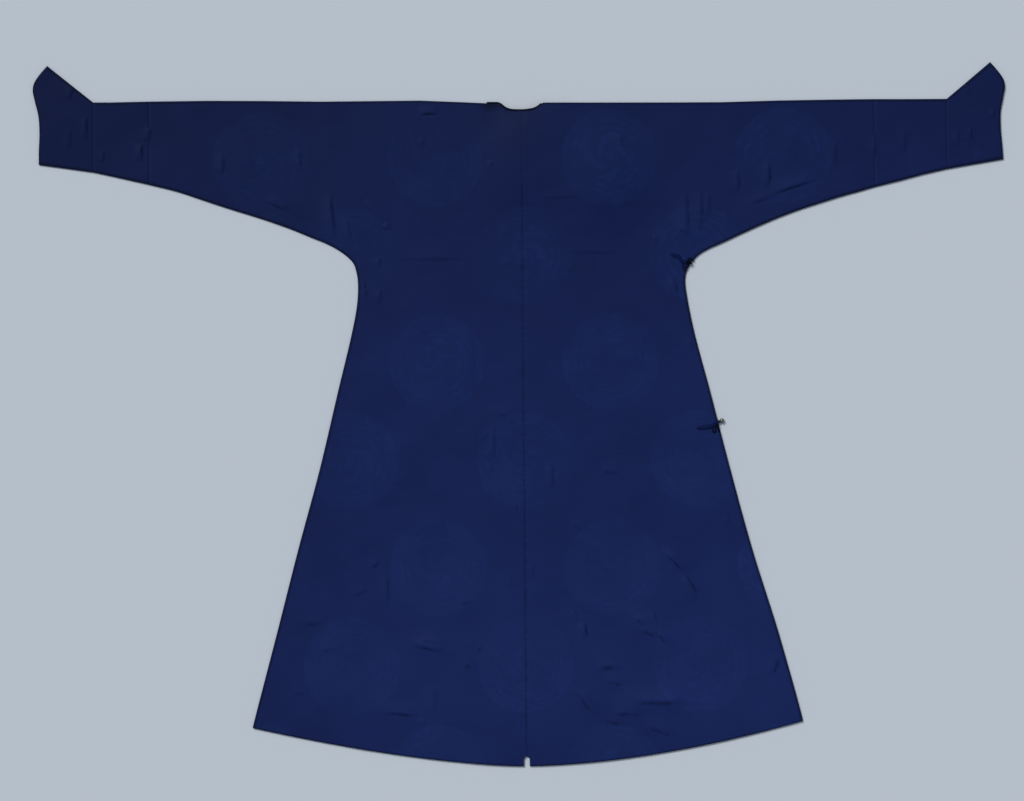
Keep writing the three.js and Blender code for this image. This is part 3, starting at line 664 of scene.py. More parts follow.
LINE_STEP = 9.4  # greatest distance between the mesh's lines
FRONT_SHARE = 0.6  # how much the hidden front's own distances count in that
FINE_CUTS = 2  # cuts in each edge beside a crease or the centre seam
FINE_SEAM = 10.0  # half width of the finer strip along the centre seam
VENT_STEP = 2.0  # greatest distance between the mesh's lines beside the vent in the hem
VENT_WIDTH = 11.8
VENT_TOP = 0.18  # share of the solid's vent that the cloth closes at the top
VENT_ROUND = 0.28  # share of the vent's length that is its round top
SLEEVE_STEP = 5.0  # distance between a lower sleeve's lines
CUFF_DEPTH = 100.0  # mean way from a cuff's seam to its mouth
QUARTER = 4  # steps round a quarter of a fold
TURN = 8  # steps round the fold at the edge
INSET = 3.6  # width of the quarter's columns where the cloth isn't folded
NEAR = (0.0, 1.4, 3.2, 5.8, 9.5)  # places of the close columns from a line's inner end
FAR = (0.0, 1.6, 4.0, 7.5)  # the same from its outer end
ON_BACK = UNDER_LEVEL + CLOTH  # height from which a point lies on the back


@dataclass(frozen=True)
class Lines:
    """Lines of cloth, one entry a line. See Row for bend; places are X and Y."""

    edge: np.ndarray
    out: np.ndarray
    back: np.ndarray
    front: np.ndarray
    fold_out: np.ndarray
    bend: np.ndarray
    bow: np.ndarray
    closing: np.ndarray
    level: np.ndarray
    run: np.ndarray

    def reach(self) -> np.ndarray:
        """How far both ends of each line are held in for the folds."""
        return (BACK_LEVEL - self.level) / 2 + CLOTH / 2

    def panel(self, inner: np.ndarray, share: np.ndarray, bowed: bool) -> np.ndarray:
        """Places on the lines.

        Args:
            inner: The lines' inner ends.
            share: Shares of the way from inner end to edge, one row a line.
            bowed: Whether the lines bow up.

        Returns:
            X and Y of each place.
        """
        bow = self.bow[:, None] * np.sin(np.pi * share) if bowed else 0.0
        x = inner[:, :1] + (self.edge[:, :1] - inner[:, :1]) * share
        y = inner[:, 1:] + (self.edge[:, 1:] - inner[:, 1:]) * share ** self.bend[:, None] + bow
        spots = np.stack((x, y), axis=2)
        reach = self.reach()[:, None, None]
        spots -= self.out[:, None, :] * reach * share[..., None]
        held = (1 - share[..., None]) * self.closing[:, None, None]
        return spots - self.fold_out[:, None, :] * reach * held


@dataclass
class SheetPoints:
    """Points of a sheet, line by line, with each one's distance from its rim and its seams."""

    spots: np.ndarray
    rim: np.ndarray
    seam: np.ndarray


def spaced(length: np.ndarray, start: np.ndarray, count: int) -> np.ndarray:
    """Shares along lines, close together near both ends.

    Args:
        length: The lines' lengths.
        start: Where the first place lies on each.
        count: How many places lie between the close ones.

    Returns:
        One row of shares a line.
    """
    near = start[:, None] + np.array(NEAR)
    far = length[:, None] - np.array(FAR)[::-1]
    even = np.linspace(0, 1, count + 2)[1:-1]
    middle = near[:, -1:] + (far[:, :1] - near[:, -1:]) * even
    return np.hstack((near, middle, far)) / length[:, None]


def wrapped(lines: Lines, back_count: int, front_count: int) -> tuple[np.ndarray, np.ndarray]:
    """Cloth over the back, round the edge, under the front and, where closed, round the fold.

    Args:
        lines: The lines of cloth.
        back_count: Even columns over the back.
        front_count: Even columns under the front.

    Returns:
        Points, and for each one its distances from its line's inner end and its outer end.
    """
    closing = lines.closing[:, None]
    radius = ((BACK_LEVEL - lines.level) / 2)[:, None]
    level = lines.level[:, None]
    fold_out = lines.fold_out[:, None, :]
    back_length = np.linalg.norm(lines.edge - lines.back, axis=1)[:, None]
    front_length = np.linalg.norm(lines.edge - lines.front, axis=1)[:, None]
    start = INSET * (1 - lines.closing)
    steps = np.arange(QUARTER)[None, :] / QUARTER

    def level_at(angle: np.ndarray) -> np.ndarray:
        """Heights round a fold, from 0 at the front's level to pi at the back's."""
        return level + (BACK_LEVEL - level) * (1 - np.cos(angle)) / 2

    def quarter(
        inner: np.ndarray, steps: np.ndarray, length: np.ndarray, is_back: bool,
    ) -> np.ndarray:
        """The columns that fold round the shoulder or lie beside the centre.

        Args:
            inner: The lines' inner ends.
            steps: Shares of the way from the fold's middle.
            length: The lines' lengths.
            is_back: Whether the columns are the back's.

        Returns:
            The points.
        """
        turn = np.pi / 2 * (1 + steps)
        angle = turn if is_back else np.pi - turn
        flat_level = np.full_like(level, BACK_LEVEL) if is_back else level
        hold = lines.panel(inner, np.zeros((len(inner), 1)), not is_back)
        turned = hold + fold_out * (radius * np.sin(angle))[..., None]
        flat = lines.panel(inner, INSET * steps / length, not is_back)
        height = flat_level + (level_at(angle) - flat_level) * closing
        return np.dstack((flat + (turned - flat) * closing[..., None], height))

    over = spaced(back_length[:, 0], start, back_count)
    top = np.dstack((lines.panel(lines.back, over, False), np.full(over.shape, BACK_LEVEL)))
    turn = np.pi * np.arange(1, TURN)[None, :] / TURN
    hold = lines.panel(lines.back, np.ones((len(level), 1)), False)
    round_spots = hold + lines.out[:, None, :] * (radius * np.sin(turn))[..., None]
    under = spaced(front_length[:, 0], start, front_count)[:, ::-1]
    low_spots = lines.panel(lines.front, under, True)
    points = np.concatenate((
        quarter(lines.back, steps, back_length, True),
        top,
        np.dstack((round_spots, level_at(np.pi - turn))),
        np.dstack((low_spots, np.broadcast_to(level, under.shape))),
        quarter(lines.front, steps[:, ::-1], front_length, False),
    ), axis=1)

    flat_part, edge_part = np.ones((len(level), QUARTER)), np.ones((len(level), TURN - 1))
    inner = np.hstack((
        INSET * steps * flat_part, over * back_length, back_length * edge_part,
        under * front_length, INSET * steps[:, ::-1] * flat_part,
    ))
    outer = np.hstack((
        back_length * flat_part, (1 - over) * back_length, 0 * edge_part,
        (1 - under) * front_length, front_length * flat_part,
    ))
    return points, np.stack((inner, outer))


def piece_from(name: str, bm: bmesh.types.BMesh) -> bpy.types.Object:
    """An object in the frame's metres from a mesh in the robe's millimetres.

    Args:
        name: The piece's name.
        bm: The mesh, which is used up.

    Returns:
        The piece.
    """
    move = Matrix.Scale(MM, 4) @ Matrix.Translation((ZERO[0], ZERO[1], 0))
    bmesh.ops.transform(bm, matrix=move, verts=bm.verts[:])
    mesh = bpy.data.meshes.new(name)
    bm.to_mesh(mesh)
    bm.free()
    mesh.shade_smooth()
    piece = bpy.data.objects.new(name, mesh)
    bpy.context.scene.collection.objects.link(piece)
    return piece


def sheet_mesh(
    name: str, sheet: SheetPoints, creases: Sequence[Crease], fine_centre: bool,
) -> bpy.types.Object:
    """A sheet of cloth with its relief.

    Args:
        name: The piece's name.
        sheet: The sheet's points, laid smooth.
        creases: Creases in its back.
        fine_centre: Whether the strip along the centre seam gets a finer mesh.

    Returns:
        The piece, with the cloth's thickness as a modifier.
    """
    rows, columns = sheet.spots.shape[:2]
    bm = bmesh.new()
    bmesh.ops.create_grid(bm, x_segments=columns - 1, y_segments=rows - 1, size=1)
    rim_layer = bm.verts.layers.float.new("rim")
    seam_layer = bm.verts.layers.float.new("seam")
    for vert in bm.verts:
        i = round((vert.co.y + 1) / 2 * (rows - 1))
        j = round((vert.co.x + 1) / 2 * (columns - 1))
        vert.co = sheet.spots[i, j]
        vert[rim_layer] = sheet.rim[i, j]
        vert[seam_layer] = sheet.seam[i, j]
    # Where the cloth is closed at a fold, its two borders are one.
    border = [vert for vert in bm.verts if vert.is_boundary]
    bmesh.ops.remove_doubles(bm, verts=border, dist=0.01)
    spots = np.array([vert.co for vert in bm.verts])
    zone = near_creases(spots[:, :2], creases)
    if fine_centre:
        zone |= np.abs(spots[:, 0]) < FINE_SEAM
    zone &= spots[:, 2] > ON_BACK
    bm.verts.index_update()
    edges = [edge for edge in bm.edges if all(zone[vert.index] for vert in edge.verts)]
    bmesh.ops.subdivide_edges(bm, edges=edges, cuts=FINE_CUTS, use_grid_fill=True)
    spots = np.array([vert.co for vert in bm.verts])
    seam = np.array([vert[seam_layer] for vert in bm.verts])
    # Painted shade in the creases' folds, which the material darkens the cloth by.
    crease_shade = np.where(spots[:, 2] > ON_BACK, painted_crease_shade(spots[:, :2], creases), 0)
    crease_shade_layer = bm.verts.layers.float.new("crease_shade")
    for vert, spot, dark in zip(bm.verts, relieved(spots, seam, creases), crease_shade, strict=True):
        vert.co = spot
        vert[crease_shade_layer] = dark
    bmesh.ops.recalc_face_normals(bm, faces=bm.faces[:])
    piece = piece_from(name, bm)
    wall = piece.modifiers.new("cloth", "SOLIDIFY")
    wall.thickness = CLOTH * MM
    wall.offset = 0
    # Normals follow the larger faces, so the cloth isn't shaded towards its thin cut edges.
    piece.modifiers.new("broad_normals", "WEIGHTED_NORMAL")
    return piece


@dataclass(frozen=True)
class BodyHalf:
    """One half of the robe: back and front in one wall of cloth to the sleeve seam."""

    side: Side
    rows: tuple[Row, ...]
    front_count: int
    under_overlap: bool
    name: str
    back_count: int = 64

    def index(self, name: str) -> int:
        """The place of a row in the table."""
        return next(i for i, row in enumerate(self.rows) if row.name == name)

    def placed(self, part: str) -> np.ndarray:
        """Places from one column of the table, in X and Y."""
        return np.array([getattr(row, part) for row in self.rows]) * (self.side.value, -1)

    def places(self) -> np.ndarray:
        """Where the mesh's lines lie, counted in rows.

        Returns:
            The places, no further apart than LINE_STEP on the edge and the back.
        """
        parts = (("edge", 1.0), ("back", 1.0), ("front", FRONT_SHARE))
        where = []
        for i in range(len(self.rows) - 1):
            ends = ((self.placed(part)[i:i + 2], counted) for part, counted in parts)
            span = max(counted * float(np.linalg.norm(high - low)) for (low, high), counted in ends)
            step = VENT_STEP if self.rows[i].name == "hem" else LINE_STEP
            count = max(1, math.ceil(span / step))
            where.extend(i + k / count for k in range(count))
        return np.array([*where, len(self.rows) - 1])

    def inner(self, part: str, where: np.ndarray, smooth_from: str) -> np.ndarray:
        """Inner ends of the lines, straight along seams and smooth round the neck.

        Args:
            part: The table's column, back or front.
            where: Places in rows.
            smooth_from: The row at which the neck's curve starts.

        Returns:
            X and Y of each line's inner end.
        """
        points = self.placed(part)
        rows = np.arange(len(points))
        spots = np.stack([np.interp(where, rows, axis) for axis in points.T], axis=1)
        start, stop = self.index(smooth_from), self.index("neck point")
        mirrored = points[start + 1] * (-1, 1)
        curve = np.vstack((mirrored, points[start:stop + 1]))
        inside = (where > start) & (where < stop)
        spots[inside] = centripetal(curve, where[inside] - start + 1)
        notch = self.index("notch")
        vent = np.clip((notch - VENT_TOP - where) / VENT_ROUND, 0, 1)
        beside_vent = VENT_WIDTH / 2 * np.sqrt(1 - (1 - vent) ** 2)
        across = np.where(where < notch, beside_vent, self.side.value * spots[:, 0])
        spots[:, 0] = self.side.value * np.maximum(across, SEWN)
        return spots

    def lines(self) -> Lines:
        """The half's lines of cloth.

        Returns:
            The lines, worked out from the half's table.
        """
        side = self.side.value
        where = self.places()
        last = len(self.rows) - 1
        edges = self.placed("edge")
        ahead = centripetal(edges, np.minimum(where + 0.01, last))
        behind = centripetal(edges, np.maximum(where - 0.01, 0))
        tangent = unit(ahead - behind)
        out = side * np.stack((tangent[:, 1], -tangent[:, 0]), axis=1)
        out[-1] = (0, -1)
        inset = np.where(where == last, side * SEWN, 0.0)[:, None] * (1, 0)
        top, neck = self.index("underarm"), self.index("neck point")
        bends = np.array([row.bend for row in self.rows])
        step_down = np.clip((where - top) / STEP_DOWN_ROWS, 0, 1)
        under = UNDER_LEVEL + (FRONT_LEVEL - UNDER_LEVEL) * step_down
        back = self.inner("back", where, "nape") - inset
        steps = np.linalg.norm(np.diff(back, axis=0), axis=1)
        return Lines(
            edge=centripetal(edges, where) - inset,
            out=out,
            back=back,
            front=self.inner("front", where, "underarm") - inset,
            fold_out=np.broadcast_to((0.0, 1.0), back.shape),
            bend=np.interp(where, np.arange(last + 1), bends),
            bow=TOP_EDGE_BOW * np.maximum(0, 1 - np.abs(where - top) / BOW_ROWS),
            closing=smooth_step(where, neck - 0.5, neck),
            level=under if self.under_overlap else np.full(len(where), FRONT_LEVEL),
            run=np.concatenate(((0,), np.cumsum(steps))),
        )

    def build(self) -> bpy.types.Object:
        """Make the half.

        Returns:
            The half as one shell.
        """
        lines = self.lines()
        points, (inner, outer) = wrapped(lines, self.back_count, self.front_count)
        necked = self.places()[:, None] > self.index("nape")
        from_hem = lines.run[:, None]
        rim = np.minimum(np.minimum(outer, from_hem), np.where(necked, inner, FAR_AWAY))
        sleeve_seam = abs(self.rows[-1].edge[0])
        across = np.abs(points[..., 0])
        to_sleeve = np.abs(sleeve_seam - across) + PRESSED_FLAT
        pressed = PRESSED_FLAT * smooth_step(points[..., 1], *CENTRE_PRESSED)
        to_centre = np.where(necked, FAR_AWAY, across + pressed)
        sheet = SheetPoints(points, rim, np.minimum(to_centre, to_sleeve))
        return sheet_mesh(self.name, sheet, BACK_CREASES, True)


@dataclass(frozen=True)
class Overlap:
    """The outer right front, which lies on the surface under the right half's own front."""

    half: BodyHalf
    columns: int = 34
    name: str = "outer_front"

    def build(self) -> bpy.types.Object:
        """Make the overlap.

        Returns:
            The overlap as one shell.
        """
        lines = self.half.lines()
        covered = self.half.places() <= self.half.index("underarm")
        length = np.linalg.norm(lines.edge - lines.front, axis=1)
        share = spaced(length, np.zeros(len(length)), self.columns)
        spots = lines.panel(lines.front, share, True)[covered]
        points = np.dstack((spots, np.full(spots.shape[:2], FRONT_LEVEL)))
        along = share[covered] * length[covered][:, None]
        outer = length[covered][:, None] - along
        run = lines.run[covered][:, None]
        rim = np.minimum(np.minimum(outer, run), run[-1] - run)
        return sheet_mesh(self.name, SheetPoints(points, rim, along), (), False)


@dataclass(frozen=True)
class LowerSleeve:
    """A flattened tube between the sleeve seam and the cuff seam."""

    side: Side
    table: tuple[tuple[float, float, float], ...]
    name: str
    count: int = 26

    def build(self) -> bpy.types.Object:
        """Make the lower sleeve.

        Returns:
            The sleeve as one shell.
        """
        side = self.side.value
        table = np.array(self.table)
        start, stop = table[0, 0], table[-1, 0]
        count = math.ceil((stop - start) / SLEEVE_STEP)
        across = np.linspace(start + SEWN, stop - SEWN, count)
        fold, edge = (
            np.stack((side * across, -np.interp(across, table[:, 0], table[:, column])), axis=1)
            for column in (1, 2)
        )
        lines = Lines(
            edge=edge,
            out=np.broadcast_to((0.0, -1.0), fold.shape),
            back=fold,
            front=fold,
            fold_out=np.broadcast_to((0.0, 1.0), fold.shape),
            bend=np.ones(count),
            bow=np.zeros(count),
            closing=np.ones(count),
            level=np.full(count, FRONT_LEVEL),
            run=across - start,
        )
        points, (inner, outer) = wrapped(lines, self.count, self.count // 2)
        to_seam = np.minimum(across - start, stop - across) + PRESSED_FLAT
        seam = np.broadcast_to(to_seam[:, None], points.shape[:2])
        sheet = SheetPoints(points, np.minimum(inner, outer), seam)
        return sheet_mesh(self.name, sheet, BACK_CREASES, False)


@dataclass(frozen=True)
class HoofCuff:
    """A flattened tube that flares from the cuff seam to the hoof-shaped mouth."""

    side: Side
    sleeve: tuple[tuple[float, float, float], ...]
    mouth: tuple[tuple[float, float], ...]
    name: str
    steps: int = 26
    columns: int = 40

    def build(self) -> bpy.types.Object:
        """Make the cuff.

        Returns:
            The cuff as one shell.
        """
        side = self.side.value
        across, top, bottom = self.sleeve[-1]
        seam_x = side * (across + SEWN)
        seam_top, seam_bottom = np.array((seam_x, -top)), np.array((seam_x, -bottom))
        mouth_spots = np.array(self.mouth) * (side, -1)
        ridge = unit(mouth_spots[0] - seam_top)
        ridge_out = np.array((-side * ridge[1], side * ridge[0]))
        radius = (BACK_LEVEL - FRONT_LEVEL) / 2
        reach = radius + CLOTH / 2
        share = np.linspace(0, 1, self.steps + 1)[:, None, None]
        # The top fold turns from the sleeve's direction to the hoof's by half way.
        turned = np.minimum(1, 2 * share)
        fold_out = unit(np.array((0, 1)) * (1 - turned) + ridge_out * turned)
        out = np.array((0.0, -1.0))
        t = np.linspace(0, 1, self.columns + 1)
        seam_line = seam_top + (seam_bottom - seam_top) * t[:, None]
        mouth_line = evenly_along(mouth_spots, t)
        flat = seam_line + (mouth_line - seam_line) * share
        flat = flat - out * reach * t[None, :, None] - fold_out * reach * (1 - t)[None, :, None]

        def turn(hold: np.ndarray, way: np.ndarray, angles: np.ndarray) -> np.ndarray:
            """Points round a fold.

            Args:
                hold: Where the fold is held.
                way: The way out of the cloth there.
                angles: Places round it, from 0 at the front's level to pi at the back's.

            Returns:
                The points.
            """
            spots = hold + way * (radius * np.sin(angles))[None, :, None]
            height = FRONT_LEVEL + (BACK_LEVEL - FRONT_LEVEL) * (1 - np.cos(angles)) / 2
            return np.dstack((spots, np.broadcast_to(height, spots.shape[:2])))

        half = np.pi / 2
        points = np.concatenate((
            turn(flat[:, :1], fold_out, half * (1 + np.arange(QUARTER) / QUARTER)),
            np.dstack((flat, np.full(flat.shape[:2], BACK_LEVEL))),
            turn(flat[:, -1:], out, np.pi * (1 - np.arange(1, TURN) / TURN)),
            np.dstack((flat[:, ::-1], np.full(flat.shape[:2], FRONT_LEVEL))),
            turn(flat[:, :1], fold_out, half * np.arange(1, QUARTER + 1) / QUARTER),
        ), axis=1)
        along = np.hstack((np.zeros(QUARTER), t, np.ones(TURN - 1), t[::-1], np.zeros(QUARTER)))
        from_fold = np.minimum(along, 1 - along) * (bottom - top)
        rim = np.minimum(from_fold, (1 - share[:, :, 0]) * CUFF_DEPTH)
        seam = np.broadcast_to(share[:, :, 0] * CUFF_DEPTH + PRESSED_FLAT, points.shape[:2])
        return sheet_mesh(self.name, SheetPoints(points, rim, seam), BACK_CREASES, False)


# ---------------------------------------------------------------- cords, bindings and balls

BALL_RADIUS = 4.5
BALL_LIFT = 0.1
CORD_RADIUS = 0.9
TAB_HEIGHT = 2.2
TAB_LEVEL = BACK_LEVEL + CLOTH / 2 + GAP + TAB_HEIGHT / 2
PLIES = 3  # strands of a twisted cord
PLY_PITCH = 5.2  # length of one turn of the twist
PLY_GROOVE = 0.16  # depth of the grooves between the strands, as a share of the radius
END_RINGS = (0.15, 0.4)  # places of extra rings at both ends, for their roundness
MERGE = 0.002  # points this close are one

Stop = tuple[float, float, float]
Section = Callable[[np.ndarray, np.ndarray, np.ndarray], tuple[np.ndarray, np.ndarray]]


def transported(path: np.ndarray) -> tuple[np.ndarray, np.ndarray]:
    """Two directions across a path, carried along it without twist.

    Args:
        path: The path's points.

    Returns:
        At each point, the way aside and the way up.
    """
    tangents = unit(np.gradient(path, axis=0))
    up = np.array((0.0, 0.0, 1.0))
    if abs(tangents[0] @ up) > 0.9:
        up = np.array((1.0, 0.0, 0.0))
    ups = []
    for tangent in tangents:
        up = up - tangent * (up @ tangent)
        up = up / np.linalg.norm(up)
        ups.append(up)
    lifted = np.array(ups)
    return np.cross(lifted, tangents), lifted


@dataclass(frozen=True)
class Sweep:
    """A closed section along a smooth path.

    section gives the offsets aside and up, from the angle round it, the distance from the
    path's start and the distance to its end.
    """

    stops: Sequence[Stop] | np.ndarray
    section: Section
    step: float = 0.8
    around: int = 16

    def add_to(self, bm: bmesh.types.BMesh) -> None:
        """Add the swept form, with a UV map in millimetres round and along it.

        Args:
            bm: The mesh that it goes into.
        """
        stops = np.array(self.stops)
        rough = evenly_along(stops, np.linspace(0, 1, 200))
        length = float(np.linalg.norm(np.diff(rough, axis=0), axis=1).sum())
        count = max(8, math.ceil(length / self.step))
        ends = np.array(END_RINGS) / length
        shares = np.unique(np.concatenate((np.linspace(0, 1, count + 1), ends, 1 - ends)))
        path = evenly_along(stops, shares)
        aside, up = transported(path)
        angle = 2 * np.pi * np.arange(self.around + 1) / self.around
        along = shares[:, None] * length
        x, z = self.section(angle[None, :], along, length - along)
        points = path[:, None] + x[..., None] * aside[:, None] + z[..., None] * up[:, None]
        rows, columns = points.shape[:2]
        uv_layer = bm.loops.layers.uv.verify()
        made = bmesh.ops.create_grid(
            bm, x_segments=columns - 1, y_segments=rows - 1, size=1, calc_uvs=True,
        )["verts"]
        girth = float(np.hypot(x, z).max()) * 2 * math.pi
        faces = {face for vert in made for face in vert.link_faces}
        for loop in (loop for face in faces for loop in face.loops):
            spot = loop.vert.co
            row = round((spot.y + 1) / 2 * (rows - 1))
            loop[uv_layer].uv = ((spot.x + 1) / 2 * girth, shares[row] * length)
        for vert in made:
            row = round((vert.co.y + 1) / 2 * (rows - 1))
            column = round((vert.co.x + 1) / 2 * (columns - 1))
            vert.co = points[row, column]
        bmesh.ops.remove_doubles(bm, verts=made, dist=MERGE)
        open_edges = [edge for edge in bm.edges if edge.is_boundary]
        bmesh.ops.holes_fill(bm, edges=open_edges, sides=self.around)
        bmesh.ops.recalc_face_normals(bm, faces=bm.faces[:])


def rounded_end(distance: np.ndarray, radius: float) -> np.ndarray:
    """How far a section has grown at a distance from a rounded end, from a tenth to 1."""
    inside = np.clip(1 - distance / radius, 0, 1)
    return np.sqrt(np.maximum(1 - inside**2, 0.01))


def twisted_cord(radius: float) -> Section:
    """The section of a cord twisted from strands, rounded at both ends.

    Args:
        radius: The cord's radius.

    Returns:
        The section.
    """

    def section(
        angle: np.ndarray, from_start: np.ndarray, to_end: np.ndarray,
    ) -> tuple[np.ndarray, np.ndarray]:
        """Offsets of the cord's surface.

        Args:
            angle: Angles round the cord.
            from_start: Distances from the cord's start.
            to_end: Distances to its end.

        Returns:
            The offsets aside and up.
        """
        twist = 2 * np.pi * from_start * PLIES / PLY_PITCH
        plies = 1 - PLY_GROOVE * (0.5 - 0.5 * np.cos(PLIES * angle - twist))
        grown = rounded_end(from_start, radius) * rounded_end(to_end, radius)
        return radius * plies * grown * np.cos(angle), radius * plies * grown * np.sin(angle)

    return section


@dataclass(frozen=True)
class TabShape:
    """A tab of doubled cord: a leaf shape sewn down flat, then a whipping of thread."""

    width: float = 8.0
    height: float = TAB_HEIGHT
    tip: float = 2.6
    neck: float = 5.4
    fullness: float = 0.85  # below 1 the leaf widens soon from its tip
    whipping: float = 8.5
    proud: float = 0.9  # how much wider than the neck the whipping is
    turns: float = 1.15  # width of one turn of the whipping's thread, drawn coarse to show
    rib: float = 0.35  # how much wider a turn is than the groove between turns
    raised: float = 0.12  # the same in height, as a share, and how much higher the whipping is
    pinch: float = 0.32  # depth of the groove between the leaf's two cords, as a share
    ends: tuple[float, float] = (1.4, 1.2)

    def section(
        self, angle: np.ndarray, from_start: np.ndarray, to_end: np.ndarray,
    ) -> tuple[np.ndarray, np.ndarray]:
        """Offsets of the tab's surface.

        Args:
            angle: Angles round the tab.
            from_start: Distances from the tab's tip.
            to_end: Distances to its end.

        Returns:
            The offsets aside and up.
        """
        leaf = np.maximum(from_start + to_end - self.whipping, 1)
        share = np.clip(from_start / leaf, 0, 1)
        base = self.tip + (self.neck - self.tip) * share
        width = base + (self.width - base) * np.sin(np.pi * share) ** self.fullness
        whipped = smooth_step(from_start - leaf, -0.6, 0.4)
        ribs = 0.5 + 0.5 * np.cos(2 * np.pi * (from_start - leaf) / self.turns)
        width = width + whipped * (self.neck + self.proud + self.rib * ribs - width)
        height = self.height * (1 + whipped * (self.raised + self.raised * ribs))
        pinch = self.pinch * (1 - 0.7 * whipped)
        waist = 1 - pinch * np.exp(-((np.cos(angle) / 0.3) ** 2))
        grown = rounded_end(from_start, self.ends[0]) * rounded_end(to_end, self.ends[1])
        return width / 2 * np.cos(angle) * grown, height / 2 * np.sin(angle) * waist * grown


@dataclass(frozen=True)
class BandShape:
    """A folded binding: flat, with round edges and a row of stitches' dips."""

    width: float
    height: float
    stitch: float = 3.4
    dip: float = 0.08  # depth of a stitch's dip, as a share of the height
    squareness: tuple[float, float] = (0.7, 0.8)

    def section(
        self, angle: np.ndarray, from_start: np.ndarray, to_end: np.ndarray,
    ) -> tuple[np.ndarray, np.ndarray]:
        """Offsets of the band's surface.

        Args:
            angle: Angles round the band.
            from_start: Distances from the band's start.
            to_end: Distances to its end.

        Returns:
            The offsets aside and up.
        """
        wide, high = self.squareness
        stitch = 1 - self.dip * (0.5 + 0.5 * np.cos(2 * np.pi * from_start / self.stitch))
        grown = rounded_end(from_start, self.height / 2) * rounded_end(to_end, self.height / 2)
        aside = self.width / 2 * np.sign(np.cos(angle)) * np.abs(np.cos(angle)) ** wide
        up = self.height / 2 * np.sign(np.sin(angle)) * np.abs(np.sin(angle)) ** high * stitch
        return aside * grown, up * grown


def swept_piece(name: str, sweeps: Sequence[Sweep]) -> bpy.types.Object:
    """One piece from one or more sweeps.

    Args:
        name: The piece's name.
        sweeps: The sweeps.

    Returns:
        The piece.
    """
    bm = bmesh.new()
    for sweep in sweeps:
        sweep.add_to(bm)
    return piece_from(name, bm)


def cord_run(stops: Sequence[Stop], radius: float = CORD_RADIUS) -> Sweep:
    """A run of twisted cord through stops."""
    return Sweep(stops, twisted_cord(radius), step=0.5, around=16)


def laid_run(places: Sequence[tuple[float, float]], radius: float) -> Sweep:
    """A run of twisted cord that lies on the back's upper face."""
    return cord_run([(x, y, laid_level(x, y) + radius) for x, y in places], radius)


@dataclass(frozen=True)
class BallButton:
    """A cast ball button, with the collar and the shank that hold it to its tab."""

    name: str
    middle: Stop
    shank_end: Stop
    collar: tuple[tuple[float, float], ...] = ((1.9, 4.25), (1.7, 4.9), (1.1, 5.1))
    shank: float = 0.8
    shank_tip: float = 0.55
    facets: int = 40

    def build(self) -> bpy.types.Object:
        """Make the button.

        Returns:
            The button as one closed shell.
        """
        axis = Vector(np.subtract(self.shank_end, self.middle))
        length = axis.length
        angles = np.radians(np.arange(-90, 67, 6))
        profile = [(BALL_RADIUS * math.cos(a), BALL_RADIUS * math.sin(a)) for a in angles]
        profile += self.collar
        profile += [(self.shank, min(5.6, length - 0.4)), (self.shank, length - 0.2)]
        profile.append((self.shank_tip, length))
        bm = bmesh.new()
        verts = [bm.verts.new((max(radius, 0.0), 0, z)) for radius, z in profile]
        verts.append(bm.verts.new((0, 0, length)))
        edges = [bm.edges.new(pair) for pair in zip(verts, verts[1:], strict=False)]
        bmesh.ops.spin(
            bm, geom=verts + edges, cent=(0, 0, 0), axis=(0, 0, 1), angle=2 * math.pi,
            steps=self.facets, use_merge=True,
        )
        bmesh.ops.remove_doubles(bm, verts=bm.verts[:], dist=MERGE)
        bmesh.ops.recalc_face_normals(bm, faces=bm.faces[:])
        turn = axis.to_track_quat("Z", "Y").to_matrix().to_4x4()
        move = Matrix.Translation(Vector(self.middle)) @ turn
        bmesh.ops.transform(bm, matrix=move, verts=bm.verts[:])
        return piece_from(self.name, bm)


@dataclass(frozen=True)
class KnotButton:
    """A button knot: a cord that runs over and under itself round a ball, and its end."""

    name: str
    middle: Stop
    shank_end: Stop
    radius: float = 3.55
    over_under: float = 0.28  # how far the cord rises over itself
    lift: float = 0.95  # how far the cord swings up and down the ball, in radians
    swings: int = 3
    rounds: int = 2
    heart: float = 2.7

    def build(self) -> bpy.types.Object:
        """Make the knot.

        Returns:
            The knot, its heart and its end as one piece.
        """
        turn = np.linspace(0, 2 * np.pi, 73)
        lift = self.lift * np.sin(self.swings * turn)
        radius = self.radius + self.over_under * np.cos(2 * self.swings * turn + 0.8)
        heading = self.rounds * turn
        middle, shank_end = np.array(self.middle), np.array(self.shank_end)
        ball = np.stack((
            radius * np.cos(lift) * np.cos(heading),
            radius * np.cos(lift) * np.sin(heading),
            radius * np.sin(lift),
        ), axis=1) + middle
        core = middle + (shank_end - middle) * 0.25
        tail = np.array([core + (shank_end - core) * part for part in (0, 0.5, 1)])
        heart = np.array([middle + np.array((0, 0, z)) for z in (-2.6, 0, 2.6)])
        return swept_piece(self.name, [
            Sweep(ball, twisted_cord(CORD_RADIUS), step=0.5, around=14),
            Sweep(tail, twisted_cord(CORD_RADIUS), step=0.5, around=14),
            Sweep(heart, twisted_cord(self.heart), step=0.6, around=20),
        ])


